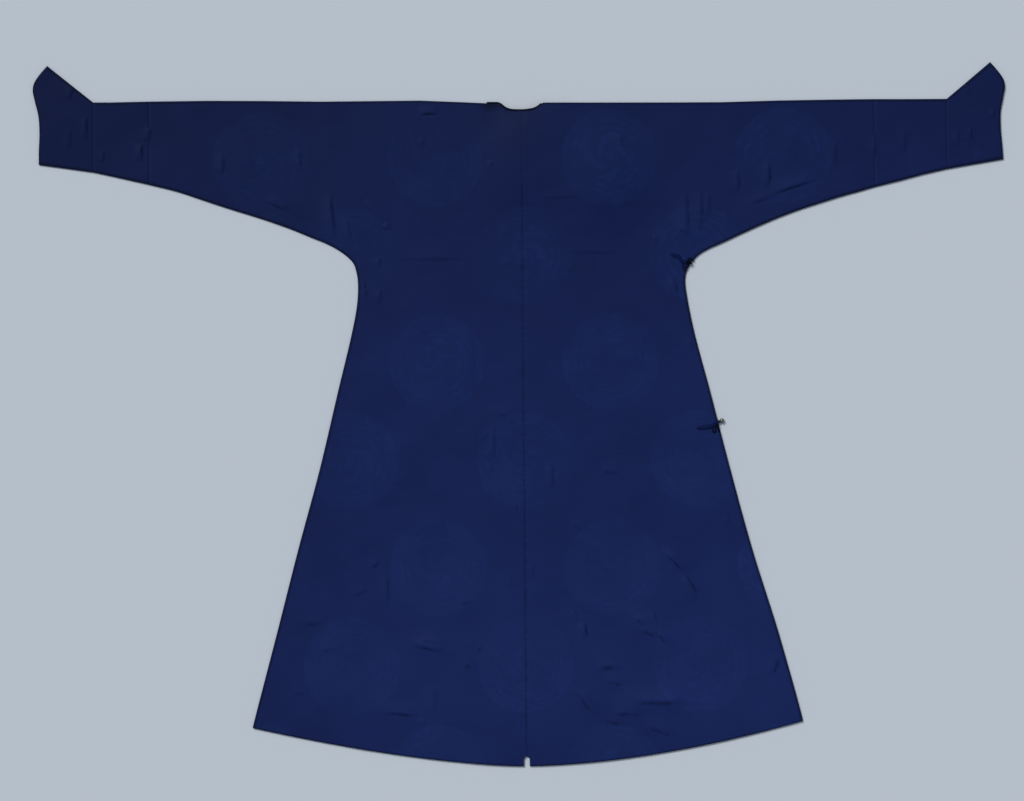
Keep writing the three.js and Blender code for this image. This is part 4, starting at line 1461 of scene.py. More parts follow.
@dataclass(frozen=True)
class Spot:
    """A closure's own frame: out along its aim in degrees from +X, left of it, and up."""

    x: float
    y: float
    aim: float

    def at(self, ahead: float, aside: float, level: float) -> Stop:
        """A place in the robe's frame.

        Args:
            ahead: The distance out.
            aside: The distance to the left.
            level: The height.

        Returns:
            The place.
        """
        turn = math.radians(self.aim)
        out, left = (math.cos(turn), math.sin(turn)), (-math.sin(turn), math.cos(turn))
        x = self.x + ahead * out[0] + aside * left[0]
        return x, self.y + ahead * out[1] + aside * left[1], level

    def tab(self, places: Sequence[tuple[float, float]]) -> list[Stop]:
        """Stops of a tab on the back, from its places as (back from the spot, aside)."""
        return [self.at(-back, aside, TAB_LEVEL) for back, aside in places]

    def loop(self, half: Sequence[Stop], top: tuple[float, float]) -> list[Stop]:
        """Stops of a loop that is alike on both sides.

        Args:
            half: One side's places from the foot up, as (ahead, aside, level).
            top: The middle's place, as (ahead, level).

        Returns:
            The stops from foot to foot.
        """
        first = [self.at(ahead, -aside, level) for ahead, aside, level in half]
        return [*first, self.at(top[0], 0, top[1]), *(self.at(*stop) for stop in reversed(half))]


# ---------------------------------------------------------------- finishes

Tree = bpy.types.NodeTree
Socket = bpy.types.NodeSocket
Value = float | tuple | str | bpy.types.NodeSocket | bpy.types.Node
Tones = tuple[tuple[float, float], ...]


def linear(code: str) -> tuple[float, float, float, float]:
    """An sRGB hex colour as linear RGBA.

    Args:
        code: The colour, such as #172456.

    Returns:
        The linear colour.
    """
    channels = (int(code[k:k + 2], 16) / 255 for k in (1, 3, 5))
    return *(c / 12.92 if c <= 0.04045 else ((c + 0.055) / 1.055) ** 2.4 for c in channels), 1.0


def add_node(
    tree: Tree, kind: str, inputs: dict[str | int, Value], **settings: object,
) -> bpy.types.Node:
    """A shader node with its settings and inputs.

    Args:
        tree: The tree that it goes into.
        kind: The node's type, without the ShaderNode that its name starts with.
        inputs: By the input's name or number, a value, a socket, or a node for its first output.
        settings: The node's own properties.

    Returns:
        The node.
    """
    node = tree.nodes.new(f"ShaderNode{kind}")
    for key, value in settings.items():
        setattr(node, key, value)
    for key, value in inputs.items():
        source = value.outputs[0] if isinstance(value, bpy.types.Node) else value
        if isinstance(source, bpy.types.NodeSocket):
            tree.links.new(source, node.inputs[key])
        else:
            node.inputs[key].default_value = source
    return node


def blank_material(name: str) -> bpy.types.Material:
    """A node material with an empty tree.

    Args:
        name: The material's name.

    Returns:
        The material.
    """
    material = bpy.data.materials.new(name)
    material.use_nodes = True
    material.node_tree.nodes.clear()
    return material


def graded(tree: Tree, value: Value, stops: Tones) -> Socket:
    """A value that runs straight between stops.

    Args:
        tree: The tree that it goes into.
        value: What it is graded by.
        stops: Pairs of a value to grade by and the result there, rising.

    Returns:
        The result.
    """
    low, high = stops[0][0], stops[-1][0]
    share = add_node(tree, "MapRange", {"Value": value, "From Min": low, "From Max": high})
    ramp = add_node(tree, "ValToRGB", {0: share})
    elements = ramp.color_ramp.elements
    while len(elements) < len(stops):
        elements.new(1.0)
    for element, (place, level) in zip(elements, stops, strict=True):
        element.position = (place - low) / (high - low)
        element.color = (level, level, level, 1)
    return ramp.outputs[0]


@dataclass(frozen=True)
class SilkDamask:
    """Navy silk damask: satin ground with medallions in twill, a shade lighter than it.

    The eye gets a deep blue with little gloss, faint round figures in it, painted light that
    fades from hem to neck, and painted shade at seams, rims and creases. Lengths are the
    robe's millimetres.
    """

    ground: str = "#172456"
    figure: str = "#1b2e66"
    gloss: str = "#a9b8f0"
    sheen: str = "#7f95e0"
    binder: float = 0.27  # how much lighter a medallion's whole disc is, as a share of its figure
    lattice: tuple[float, float] = (348.0, 410.0)  # medallion to medallion across, and down
    even_start: float = 306.0  # how far down a medallion on the centre is
    odd_start: float = 111.0  # the same in the columns between
    medallion: float = 95.0  # radius
    waver: float = 9.0  # how far the weave pulls a medallion out of round
    # Painted light and shade by place down the robe and across it, lightest in the skirt
    # and on the right.
    painted_light_down: Tones = (
        (-1290, 0.92), (-1190, 1.0), (-1100, 1.0), (-980, 0.95), (-860, 0.89),
        (-540, 0.855), (-460, 0.815), (-340, 0.745), (-150, 0.7), (-30, 0.65),
    )
    painted_light_across: Tones = (
        (-960, 0.68), (-860, 0.7), (-752, 0.77), (-744, 0.81), (-640, 0.8), (-420, 0.86),
        (-250, 0.96), (240, 0.96), (340, 1.0), (720, 1.0), (800, 0.95), (960, 0.92),
    )
    # How much of the figure shows: wear has dulled it in the skirt and the cuffs most.
    down_figure: Tones = ((-800, 0.8), (-200, 1.0))
    across_figure: Tones = ((-790, 0.1), (-650, 0.9), (650, 0.9), (800, 0.3))
    # Darker patches below the neck and at its left corner: middle, half widths, darkest tone.
    # The one below the neck is painted shade.
    dark_patches: tuple[tuple[tuple[float, float], tuple[float, float], float], ...] = (
        ((-8.0, -36.0), (60.0, 70.0), 0.8), ((-62.0, -8.0), (17.0, 9.0), 0.42),
    )
    # By a medallion's radii: the boss and the double ring, the scroll, the clouds.
    rings: Tones = (
        (0, 1), (0.1, 1), (0.13, 0), (0.84, 0), (0.87, 0.9), (0.91, 0.2), (0.94, 1), (0.99, 1),
        (1.02, 0),
    )
    scroll: Tones = ((0.12, 0), (0.17, 1), (0.5, 1), (0.54, 0))
    clouds: Tones = ((0.56, 0), (0.61, 1), (0.78, 1), (0.83, 0))
    arms: int = 4
    lobes: int = 12
    curl: float = 6.5  # how fast the scroll's arms turn as they leave the boss
    cloud_rows: float = 34.0

    def build(self) -> bpy.types.Material:
        """Make the material, on the robe's own millimetres.

        Returns:
            The material.
        """
        material = blank_material("navy_silk_damask")
        tree = material.node_tree
        coordinate = add_node(tree, "TexCoord", {}).outputs["Object"]
        place = add_node(tree, "Mapping", {
            "Vector": coordinate, "Location": (-ZERO[0], -ZERO[1], 0), "Scale": (1 / MM,) * 3,
        }).outputs[0]
        figure = self.figure_mask(tree, place)
        colour = self.colour(tree, place, figure)
        relief = self.relief(tree, place, figure)
        bump = add_node(tree, "Bump", {"Strength": 0.35, "Distance": 0.0004, "Height": relief})
        shader = add_node(tree, "BsdfPrincipled", {
            "Base Color": colour,
            "Roughness": add_node(tree, "MapRange", {
                "Value": figure, "To Min": 0.5, "To Max": 0.6,
            }),
            "Specular IOR Level": 0.14,
            "Specular Tint": linear(self.gloss),
            "Sheen Weight": 0.02,
            "Sheen Roughness": 0.4,
            "Sheen Tint": linear(self.sheen),
            "Normal": bump,
        })
        add_node(tree, "OutputMaterial", {"Surface": shader})
        return material

    def nearest_medallion(self, tree: Tree, place: Socket) -> tuple[Socket, Socket]:
        """Polar place in the nearest medallion of two staggered lattices.

        Args:
            tree: The material's tree.
            place: The place on the robe.

        Returns:
            Distance from its middle in its own radii, and the angle round it.
        """
        half = (self.lattice[0] / 2, self.lattice[1] / 2)
        pull = add_node(tree, "TexNoise", {"Vector": place, "Scale": 0.045, "Detail": 1.0})
        centred = add_node(tree, "VectorMath", {
            0: pull.outputs["Color"], 1: (0.5, 0.5, 0.5),
        }, operation="SUBTRACT")
        wavy = add_node(tree, "VectorMath", {
            0: centred, 1: (self.waver, self.waver, 0), 2: place,
        }, operation="MULTIPLY_ADD")
        spots, lengths = [], []
        for shift in ((0, self.even_start, 0), (half[0], self.odd_start, 0)):
            moved = add_node(tree, "VectorMath", {0: wavy, 1: shift}, operation="ADD")
            spot = add_node(tree, "VectorMath", {
                0: moved, 1: (*half, 0), 2: (-half[0], -half[1], 0),
            }, operation="WRAP")
            spots.append(spot)
            length = add_node(tree, "VectorMath", {0: spot}, operation="LENGTH")
            lengths.append(length.outputs["Value"])
        nearer = add_node(tree, "Math", {0: lengths[0], 1: lengths[1]}, operation="LESS_THAN")
        spot = add_node(tree, "Mix", {0: nearer, 4: spots[1], 5: spots[0]}, data_type="VECTOR")
        xy = add_node(tree, "SeparateXYZ", {0: spot.outputs[1]}).outputs
        length = add_node(tree, "Math", {0: lengths[0], 1: lengths[1]}, operation="MINIMUM")
        radius = add_node(tree, "Math", {0: length, 1: self.medallion}, operation="DIVIDE")
        angle = add_node(tree, "Math", {0: xy[1], 1: xy[0]}, operation="ARCTAN2")
        return radius.outputs[0], angle.outputs[0]

    def figure_mask(self, tree: Tree, place: Socket) -> Socket:
        """The medallions: a double ring, a band of clouds, a scroll and a boss.

        Args:
            tree: The material's tree.
            place: The place on the robe.

        Returns:
            How much figure there is, 0 for the ground.
        """
        radius, angle = self.nearest_medallion(tree, place)
        whole = graded(tree, radius, self.rings)
        scroll_band = graded(tree, radius, self.scroll)
        cloud_band = graded(tree, radius, self.clouds)
        disc = graded(tree, radius, ((0.8, self.binder), (1.08, 0)))
        # One vector holds the phases of the scroll's arms, the clouds' lobes and their rings.
        by_angle = add_node(tree, "VectorMath", {
            0: angle, 1: (self.arms, self.lobes, 0),
        }, operation="MULTIPLY")
        grown = add_node(tree, "Math", {0: radius, 1: 0.05}, operation="ADD")
        spread = add_node(tree, "Math", {0: grown, 1: math.e}, operation="LOGARITHM")
        by_radius = add_node(tree, "CombineXYZ", {0: spread, 2: radius})
        phases = add_node(tree, "VectorMath", {
            0: by_radius, 1: (self.curl, 0, self.cloud_rows), 2: by_angle,
        }, operation="MULTIPLY_ADD")
        sines = add_node(tree, "VectorMath", {0: phases}, operation="SINE")
        arms, lobes, rows = add_node(tree, "SeparateXYZ", {0: sines}).outputs
        clouds = add_node(tree, "Math", {0: lobes, 1: 0.75, 2: rows}, operation="MULTIPLY_ADD")
        for band, wave in ((scroll_band, arms), (cloud_band, clouds)):
            cut = add_node(tree, "MapRange", {
                "Value": wave, "From Min": -0.25, "From Max": 0.25,
            }, interpolation_type="SMOOTHSTEP")
            part = add_node(tree, "Math", {0: band, 1: cut}, operation="MULTIPLY")
            whole = add_node(tree, "Math", {0: whole, 1: part}, operation="MAXIMUM")
        worn = add_node(tree, "TexNoise", {"Vector": place, "Scale": 0.05, "Detail": 4.0})
        keep = add_node(tree, "MapRange", {
            "Value": worn, "From Min": 0.38, "From Max": 0.66, "To Min": 0.08, "To Max": 0.52,
        })
        kept = add_node(tree, "Math", {0: whole, 1: keep}, operation="MULTIPLY")
        return add_node(tree, "Math", {0: kept, 1: disc}, operation="ADD").outputs[0]

    def colour(self, tree: Tree, place: Socket, figure: Socket) -> Socket:
        """Ground and figure, under painted light and shade over the robe, darker patches, uneven
        dye, and painted shade at seams, rims and creases.

        Args:
            tree: The material's tree.
            place: The place on the robe.
            figure: How much figure there is.

        Returns:
            The colour.
        """
        across, down, _ = add_node(tree, "SeparateXYZ", {0: place}).outputs
        shown = figure
        broad = add_node(tree, "TexNoise", {"Vector": place, "Scale": 0.007, "Detail": 3.0})
        for kept in (
            graded(tree, down, self.down_figure),
            graded(tree, across, self.across_figure),
            graded(tree, broad, ((0.36, 0.35), (0.62, 1.2))),
        ):
            shown = add_node(tree, "Math", {0: shown, 1: kept}, operation="MULTIPLY")
        woven = add_node(tree, "Mix", {
            0: shown, 6: linear(self.ground), 7: linear(self.figure),
        }, data_type="RGBA").outputs[2]
        # Painted light and shade: lighter in the skirt and to the right, darker at the neck and the
        # left sleeve.
        tone = graded(tree, down, self.painted_light_down)
        for other in (graded(tree, across, self.painted_light_across), *self.tones(tree, place)):
            tone = add_node(tree, "Math", {0: tone, 1: other}, operation="MULTIPLY")
        scaled = add_node(tree, "VectorMath", {0: woven, "Scale": tone}, operation="SCALE")
        return scaled.outputs[0]

    def tones(self, tree: Tree, place: Socket) -> list[Value]:
        """Darker patches, uneven dye, and painted shade at rims, seams and creases.

        Args:
            tree: The material's tree.
            place: The place on the robe.

        Returns:
            A tone for each, near 1 where it hardly shows.
        """
        tones = []
        # Darker patches: the one below the neck is painted shade.
        for middle, reach, darkest in self.dark_patches:
            from_patch = add_node(tree, "Mapping", {
                "Vector": place,
                "Location": (*(-m / r for m, r in zip(middle, reach, strict=True)), 0),
                "Scale": (*(1 / r for r in reach), 0),
            })
            away = add_node(tree, "VectorMath", {0: from_patch}, operation="LENGTH")
            tones.append(graded(tree, away.outputs["Value"], ((0.2, darkest), (1.5, 1.0))))
        # Broad clouds in the dye, streaks along the loom's width, and a fine grain.
        streaked = add_node(tree, "Mapping", {"Vector": place, "Scale": (0.014, 0.33, 0.1)})
        for vector, scale, detail, spread in (
            (place, 0.011, 4.0, 0.06), (streaked, 1.0, 3.0, 0.03), (place, 0.28, 2.0, 0.03),
        ):
            noise = add_node(tree, "TexNoise", {
                "Vector": vector, "Scale": scale, "Detail": detail,
            })
            tones.append(add_node(tree, "MapRange", {
                "Value": noise, "From Min": 0.3, "From Max": 0.7,
                "To Min": 1 - spread, "To Max": 1 + spread,
            }))
        # Painted shade at the rims' rounded folds, in the seams and in the creases: rims are darker
        # all along, seams and creases only in patches.
        patchy = add_node(tree, "TexNoise", {"Vector": place, "Scale": 0.09, "Detail": 3.0})
        patches = add_node(tree, "MapRange", {
            "Value": patchy, "From Min": 0.35, "From Max": 0.65,
        })
        for attribute, uneven, darkest_at, clear_at, darkest in (
            ("rim", 0.0, 0.6, 5.2, 0.5), ("seam", 3.6, -1.6, 7.4, 0.66),
            ("crease_shade", -0.6, 1.0, 0.0, 0.56),
        ):
            carried = add_node(tree, "Attribute", {}, attribute_name=attribute).outputs["Fac"]
            near = add_node(tree, "Math", {
                0: patches, 1: uneven, 2: carried,
            }, operation="MULTIPLY_ADD")
            tones.append(add_node(tree, "MapRange", {
                "Value": near, "From Min": darkest_at, "From Max": clear_at, "To Min": darkest,
            }, interpolation_type="SMOOTHSTEP"))
        return tones

    def relief(self, tree: Tree, place: Socket, figure: Socket) -> Socket:
        """Twill ribs, real ones 0.3 mm apart and drawn 2.4 mm apart to show, and thread slubs.

        Args:
            tree: The material's tree.
            place: The place on the robe.
            figure: How much figure there is, because its ribs stand out more.

        Returns:
            The height for the bump.
        """
        ribs = add_node(tree, "TexWave", {
            "Vector": place, "Scale": 0.185, "Distortion": 1.2, "Detail": 1.0, "Detail Scale": 0.4,
        }, wave_type="BANDS", bands_direction="DIAGONAL").outputs["Fac"]
        crepe = add_node(tree, "TexNoise", {"Vector": place, "Scale": 0.4, "Detail": 2.0})
        strength = add_node(tree, "Math", {0: figure, 1: 0.25, 2: 0.15}, operation="MULTIPLY_ADD")
        ribbed = add_node(tree, "Math", {0: ribs, 1: strength}, operation="MULTIPLY")
        height = add_node(tree, "Math", {0: crepe, 1: 0.5, 2: ribbed}, operation="MULTIPLY_ADD")
        return height.outputs[0]


@dataclass(frozen=True)
class Finish:
    """A finish of two colours, mixed by one pattern that also gives the relief.

    relief is the bump's strength and its depth in metres.
    """

    name: str
    colour: str
    other: str
    relief: tuple[float, float]

    def pattern(self, tree: Tree) -> Socket:
        """The pattern, 0 for the first colour and 1 for the other."""
        raise NotImplementedError

    def gloss(self, tree: Tree, pattern: Socket) -> dict[str | int, Value]:
        """The shader's inputs for how it shines."""
        raise NotImplementedError

    def build(self) -> bpy.types.Material:
        """Make the material.

        Returns:
            The material.
        """
        material = blank_material(self.name)
        tree = material.node_tree
        pattern = self.pattern(tree)
        mixed = add_node(tree, "Mix", {
            0: pattern, 6: linear(self.colour), 7: linear(self.other),
        }, data_type="RGBA")
        strength, depth = self.relief
        bump = add_node(tree, "Bump", {"Strength": strength, "Distance": depth, "Height": pattern})
        inputs = {"Base Color": mixed.outputs[2], "Normal": bump} | self.gloss(tree, pattern)
        shader = add_node(tree, "BsdfPrincipled", inputs)
        add_node(tree, "OutputMaterial", {"Surface": shader})
        return material


@dataclass(frozen=True)
class SilkCord(Finish):
    """Dark twisted silk cord: strands in the form, and fine threads that catch a soft light."""

    relief: tuple[float, float] = (0.6, 0.0002)

    def pattern(self, tree: Tree) -> Socket:
        """Threads, on the cord's own UV map in millimetres."""
        return add_node(tree, "TexWave", {
            "Vector": add_node(tree, "UVMap", {}), "Scale": 0.9, "Distortion": 0.6, "Detail": 1.0,
        }, wave_type="BANDS", bands_direction="DIAGONAL").outputs["Fac"]

    def gloss(self, tree: Tree, pattern: Socket) -> dict[str | int, Value]:
        """Dull, with almost no highlight."""
        return {"Roughness": 0.55, "Specular IOR Level": 0.06}


@dataclass(frozen=True)
class SatinBinding(Finish):
    """Near-black silk satin, cut on the bias and folded: smooth, with faint pulls along it."""

    name: str = "black_silk_satin_binding"
    colour: str = "#030618"
    other: str = "#080e2a"
    relief: tuple[float, float] = (0.4, 0.0003)

    def pattern(self, tree: Tree) -> Socket:
        """Pulls, on the binding's own UV map in millimetres."""
        drawn_out = add_node(tree, "Mapping", {
            "Vector": add_node(tree, "UVMap", {}), "Scale": (1.6, 0.5, 1),
        })
        return add_node(tree, "TexNoise", {
            "Vector": drawn_out, "Scale": 1.0, "Detail": 3.0,
        }).outputs[0]

    def gloss(self, tree: Tree, pattern: Socket) -> dict[str | int, Value]:
        """A little smoother than the cords."""
        return {"Roughness": 0.5, "Specular IOR Level": 0.05}


@dataclass(frozen=True)
class AgedBrass(Finish):
    """Cast brass worn grey by handling: bright where it is rubbed, dull in small pits."""

    name: str = "aged_cast_brass"
    colour: str = "#98968c"
    other: str = "#4c4a42"
    relief: tuple[float, float] = (0.2, 0.0001)

    def pattern(self, tree: Tree) -> Socket:
        """Patina, on object coordinates in metres."""
        coordinate = add_node(tree, "TexCoord", {}).outputs["Object"]
        return add_node(tree, "TexNoise", {
            "Vector": coordinate, "Scale": 900.0, "Detail": 4.0,
        }).outputs[0]

    def gloss(self, tree: Tree, pattern: Socket) -> dict[str | int, Value]:
        """Metal that is rougher where the patina is."""
        rough = add_node(tree, "MapRange", {"Value": pattern, "To Min": 0.16, "To Max": 0.42})
        return {"Metallic": 1.0, "Roughness": rough}


@dataclass(frozen=True)
class PaperFloor:
    """Plain seamless paper: a pale matt ground that takes a soft shadow."""

    colour: str = "#c3cbd4"

    def build(self) -> bpy.types.Material:
        """Make the material.

        Returns:
            The material.
        """
        material = blank_material("pale_paper")
        tree = material.node_tree
        shader = add_node(tree, "BsdfPrincipled", {
            "Base Color": linear(self.colour), "Roughness": 0.95, "Specular IOR Level": 0.1,
        })
        add_node(tree, "OutputMaterial", {"Surface": shader})
        return material


# ---------------------------------------------------------------- the robe


class Slot(Enum):
    """The record's material slots."""

    SILK = "silk_damask"
    CORD = "silk_cord"
    BRASS = "brass_ball"


@dataclass(frozen=True)
class Cut:
    """The flat cut of a sheet of cloth, in metres, and the area of the cloth itself."""

    width: float
    length: float
    area: float


@dataclass(frozen=True)
class NeckRun:
    """A run of the neck's binding: places as (x, down), its middle's level, and its band."""

    name: str
    node: str
    places: tuple[tuple[float, float], ...]
    level: float
    band: BandShape

    def build(self) -> bpy.types.Object:
        """Make the run.

        Returns:
            The run, lifted with the cloth over the ball buttons.
        """
        flat = np.array([(x, -down) for x, down in self.places])
        stops = np.column_stack((flat, self.level + RISE.at(flat)))
        return swept_piece(self.name, [Sweep(stops, self.band.section, step=1.1, around=20)])


NECK_RUNS = (
    NeckRun("neck_binding_behind", "neck_binding_back", (
        (40.3, 3.8), (34, 9), (25, 13.7), (9, 16.5), (-7, 16.8), (-23, 15.4), (-31, 12.3),
        (-37.5, 7.9), (-42.5, 3.8), (-48, 1.9), (-56, 1.6), (-69.8, 1.6),
    ), 4.35, BandShape(4.5, 2.6)),
    NeckRun("neck_binding_before", "neck_binding_front", (
        (40.4, 7.6), (48, 15.8), (54.4, 24), (57.9, 44.4), (48.8, 65), (28.2, 80), (0, 84.4),
        (-33, 80), (-57, 63.2), (-74.4, 40.8), (-78.8, 22), (-76.2, 10.4), (-72, 7.8),
    ), 1.05, BandShape(3.6, 1.8)),
)


@dataclass
class Robe:
    """Builds, dresses and reports the pieces."""

    silk: bpy.types.Material
    cord: bpy.types.Material
    tab_cord: bpy.types.Material
    binding: bpy.types.Material
    brass: bpy.types.Material
    made: list[str] = field(default_factory=list)

    def take(
        self, piece: bpy.types.Object, material: bpy.types.Material, slot: Slot, *nodes: str,
    ) -> None:
        """Dress a piece, tie it to the body, hide the nodes that it stands for, and log it.

        Args:
            piece: The piece.
            material: Its material.
            slot: Its material slot in the record, which is not used.
            nodes: The nodes that it stands for.
        """
        piece.data.materials.append(material)
        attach(piece, BODY)
        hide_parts(*nodes)
        self.made.append(piece.name)
        LOG.info("%s for %s, %d faces", piece.name, ", ".join(nodes), len(piece.data.polygons))

    def cloth(
        self, piece: bpy.types.Object, node: str, cut: Cut, rests_on: Sequence[str] = (),
    ) -> None:
        """Dress a sheet of cloth.

        Args:
            piece: The sheet.
            node: The node that it stands for.
            cut: Its flat cut, which is not used.
            rests_on: Names of the pieces that it rests on, which are not used.
        """
        self.take(piece, self.silk, Slot.SILK, node)

    def cloths(self) -> None:
        """Make the two halves, the overlap, the lower sleeves and the cuffs."""
        right = BodyHalf(Side.RIGHT, RIGHT_ROWS, 30, True, "right_half")
        left = BodyHalf(Side.LEFT, LEFT_ROWS, 26, False, "left_half")
        overlap = Overlap(right).build()
        self.cloth(overlap, "front_overlap", Cut(0.551, 1.24, 0.467))
        self.cloth(right.build(), "body_right", Cut(0.706, 2.657, 1.233), (overlap.name,))
        self.cloth(left.build(), "body_left", Cut(0.746, 2.657, 1.248))
        for tube, node, cut in (
            (LowerSleeve(Side.RIGHT, RIGHT_SLEEVE, "right_lower_sleeve"),
             "sleeve_right", Cut(0.145, 0.352, 0.0457)),
            (LowerSleeve(Side.LEFT, LEFT_SLEEVE, "left_lower_sleeve"),
             "sleeve_left", Cut(0.1115, 0.333, 0.0341)),
            (HoofCuff(Side.RIGHT, RIGHT_SLEEVE, RIGHT_MOUTH, "right_hoof_cuff"),
             "cuff_right", Cut(0.116, 0.426, 0.0379)),
            (HoofCuff(Side.LEFT, LEFT_SLEEVE, LEFT_MOUTH, "left_hoof_cuff"),
             "cuff_left", Cut(0.12, 0.428, 0.0386)),
        ):
            self.cloth(tube.build(), node, cut)

    def bindings(self) -> None:
        """Make the binding round the neck, in the run behind the neck and the run in front."""
        for run in NECK_RUNS:
            self.take(run.build(), self.binding, Slot.CORD, run.node)

    def side_closure(self) -> None:
        """Make the closure on the right side: tab on the back, loop and ball at the edge."""
        spot = Spot(388.4, -642.5, 14.7)
        foot, reach, spread, shoulder = 0.9, 2.1, 2.4, 0.75
        top = TAB_LEVEL + spread
        loop = spot.loop((
            (foot, spread, CORD_RADIUS + BALL_LIFT),
            (reach, spread, TAB_LEVEL - 2),
            (reach, spread * shoulder, top - 0.8),
        ), (reach, top))
        tab = spot.tab(((45.3, -1.6), (31, -3.4), (18, -5.0), (8, -2.4), (-1.2, 0)))
        # The foot of the loop: cord laid to and fro beside the edge under a short whipping.
        foot_run = laid_run((
            (377.4, -651.4), (377.2, -657), (377.7, -662.2), (380, -663.9), (382.3, -662),
            (382.7, -656), (383.4, -651.8), (385.7, -650.7), (387.8, -652.6), (388.6, -658),
            (389, -663),
        ), 1.3)
        whipping = laid_run(((380.8, -649.8), (385.4, -650.2), (390, -651.2)), 1.9)
        ball = spot.at(reach + CORD_RADIUS + GAP + BALL_RADIUS, 0, BALL_RADIUS + BALL_LIFT)
        button = BallButton("side_ball", ball, spot.at(GAP - 2, 0, TAB_LEVEL)).build()
        held = (cord_run(loop), foot_run, whipping)
        self.closure("side", tab, held, button, self.brass, Slot.BRASS)

    def underarm_closure(self) -> None:
        """Make the closure under the arm: the tab bends to a corded knot on the cloth's edge."""
        spot = Spot(335.5, -320.6, 3)
        loop = [spot.at(*stop) for stop in (
            (6.6, -1.6, 1.1), (7, -1.3, 4), (5.5, 0.6, 6.7), (1.7, 4.2, 7), (-2.5, 5.8, 7.3),
            (-7.4, 3.2, 8.3), (-9, 0, 8.9), (-7.4, -3.2, 8.3), (-2.5, -5.9, 7.2),
            (1.4, -6.1, 6.9), (3.2, -5.6, 4), (3.1, -5.4, 1.1),
        )]
        tab = spot.tab(((38.5, 15.6), (24, 10), (17.8, 1.5), (12.5, -1.6), (8.4, -1.6)))
        # Spare cord of the loop, doubled and lying on the cloth below the knot.
        spare = (
            laid_run((
                (332, -325.5), (330.2, -332), (326.6, -338.6), (323.6, -340.8), (321.4, -337.4),
                (319.8, -331.5), (318.4, -325.6),
            ), 0.8),
            laid_run((
                (328, -326), (327.2, -330.6), (325.2, -334.6), (323.2, -333.6), (322.6, -329.4),
                (322.8, -326),
            ), 0.8),
        )
        middle = spot.at(-3, -1.8, BACK_LEVEL + CLOTH / 2 + GAP + BALL_RADIUS)
        shank_end = spot.at(2 * GAP - 8.4, -1.4, TAB_LEVEL)
        knot = KnotButton("underarm_knot", middle, shank_end).build()
        self.closure("underarm", tab, (cord_run(loop), *spare), knot, self.cord, Slot.CORD)

    def hidden_closures(self) -> None:
        """Make the two closures between the robe and the surface, on the overlap's top edge."""
        middle, spread, shoulder, tab_length = 3.6, 2.9, 0.72, 22
        for name, share, aim in (("neck", 0.1, 40), ("breast", 0.42, 62)):
            place = overlap_edge(share)
            spot = Spot(float(place[0]), float(place[1]), aim)
            lift = float(RISE.at(place[None])[0])
            level = lift - GAP - CORD_RADIUS
            loop = spot.loop((
                (0.5, spread, level),
                (middle * shoulder, spread, level),
                (middle + spread * shoulder, spread * shoulder, level),
            ), (middle + spread, level))
            start = middle + spread + CORD_RADIUS + GAP
            tab_level = lift + UNDER_LEVEL - CLOTH / 2 - TAB_HEIGHT / 2 - 1.2
            tab = [
                spot.at(start + tab_length * left, 0, tab_level - 2.4 * left)
                for left in (1, 0.5, 0)
            ]
            ball = spot.at(middle, 0, BALL_RADIUS + BALL_LIFT)
            button = BallButton(f"{name}_ball", ball, spot.at(middle, 0, lift + CLOTH / 2)).build()
            self.closure(name, tab, (cord_run(loop),), button, self.brass, Slot.BRASS)

    def closure(
        self, name: str, tab: Sequence[Stop], held: Sequence[Sweep], button: bpy.types.Object,
        finish: bpy.types.Material, slot: Slot,
    ) -> None:
        """Dress the three pieces of a closure.

        Args:
            name: The closure's name, with which its nodes' names start.
            tab: Stops of the tab, from its sewn end.
            held: The loop's runs of cord.
            button: The ball or knot.
            finish: The button's material.
            slot: The button's slot.
        """
        leaf = Sweep(tab, TabShape().section, step=0.25, around=28)
        sewn = swept_piece(f"{name}_cord_tab", [leaf])
        self.take(sewn, self.tab_cord, Slot.CORD, f"{name}_tab")
        self.take(swept_piece(f"{name}_cord_loop", held), self.cord, Slot.CORD, f"{name}_loop")
        self.take(button, finish, slot, f"{name}_button")


# ---------------------------------------------------------------- stage


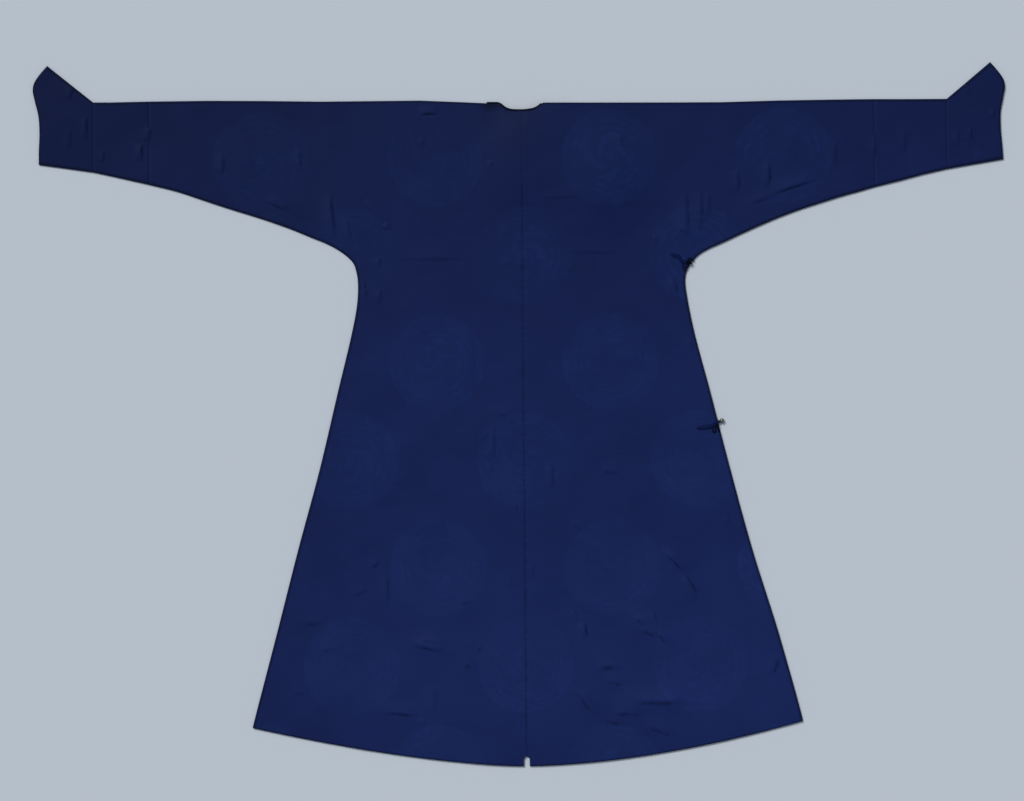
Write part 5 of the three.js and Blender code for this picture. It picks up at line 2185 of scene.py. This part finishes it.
@dataclass(frozen=True)
class Stage:
    """Floor, camera and lights, in metres."""

    focal: float = 120.0
    sensor: float = 36.0
    view_width: float = 2.048
    middle: tuple[float, float] = (-0.0187, 0.02752)
    roll: float = -0.00819
    farthest: float = 50.0  # what lies beyond this doesn't show
    floor_reach: float = 6.0
    floor_drop: float = 0.0004  # below the robe's zero, so that no faces meet
    key_from: tuple[float, float, float] = (-0.5, 0.62, 0.95)
    key_power: float = 2.2
    key_spread: float = 22.0
    sky_colour: str = "#dfe6ee"
    sky: float = 0.42

    def camera(self) -> None:
        """Set a camera straight above the robe."""
        data = bpy.data.cameras.new("camera")
        data.lens = self.focal
        data.sensor_width = self.sensor
        data.clip_end = self.farthest
        camera = bpy.data.objects.new("camera", data)
        height = self.focal * self.view_width / self.sensor + BACK_LEVEL * MM
        camera.location = (*self.middle, height)
        camera.rotation_euler = (0, 0, self.roll)
        bpy.context.scene.collection.objects.link(camera)
        bpy.context.scene.camera = camera

    def floor(self) -> None:
        """Lay a plain pale floor."""
        bm = bmesh.new()
        bmesh.ops.create_grid(bm, x_segments=1, y_segments=1, size=self.floor_reach)
        bmesh.ops.translate(bm, vec=(0, 0, -self.floor_drop), verts=bm.verts[:])
        mesh = bpy.data.meshes.new("floor")
        bm.to_mesh(mesh)
        bm.free()
        floor = bpy.data.objects.new("floor", mesh)
        floor.data.materials.append(PaperFloor().build())
        bpy.context.scene.collection.objects.link(floor)

    def lights(self) -> None:
        """Set an even key from the upper left, as wide as a softbox, and a soft sky."""
        data = bpy.data.lights.new("key", "SUN")
        data.energy = self.key_power
        data.angle = math.radians(self.key_spread)
        key = bpy.data.objects.new("key", data)
        key.rotation_euler = Vector(self.key_from).to_track_quat("Z", "Y").to_euler()
        bpy.context.scene.collection.objects.link(key)
        world = bpy.data.worlds.new("studio")
        world.use_nodes = True
        background = world.node_tree.nodes["Background"]
        background.inputs["Color"].default_value = linear(self.sky_colour)
        background.inputs["Strength"].default_value = self.sky
        bpy.context.scene.world = world


def main() -> None:
    """Build the stage and the robe, and report each piece."""
    logging.basicConfig(level=logging.INFO, format="%(name)s: %(message)s")
    bpy.context.scene.view_settings.view_transform = "Standard"
    stage = Stage()
    stage.camera()
    stage.floor()
    stage.lights()
    robe = Robe(
        silk=SilkDamask().build(),
        cord=SilkCord("black_silk_cord", "#04060f", "#090d1e").build(),
        tab_cord=SilkCord("navy_silk_cord", "#020f38", "#051a4c").build(),
        binding=SatinBinding().build(),
        brass=AgedBrass().build(),
    )
    robe.cloths()
    robe.bindings()
    robe.side_closure()
    robe.underarm_closure()
    robe.hidden_closures()
    LOG.info("%d pieces", len(robe.made))


if __name__ == "__main__":
    main()
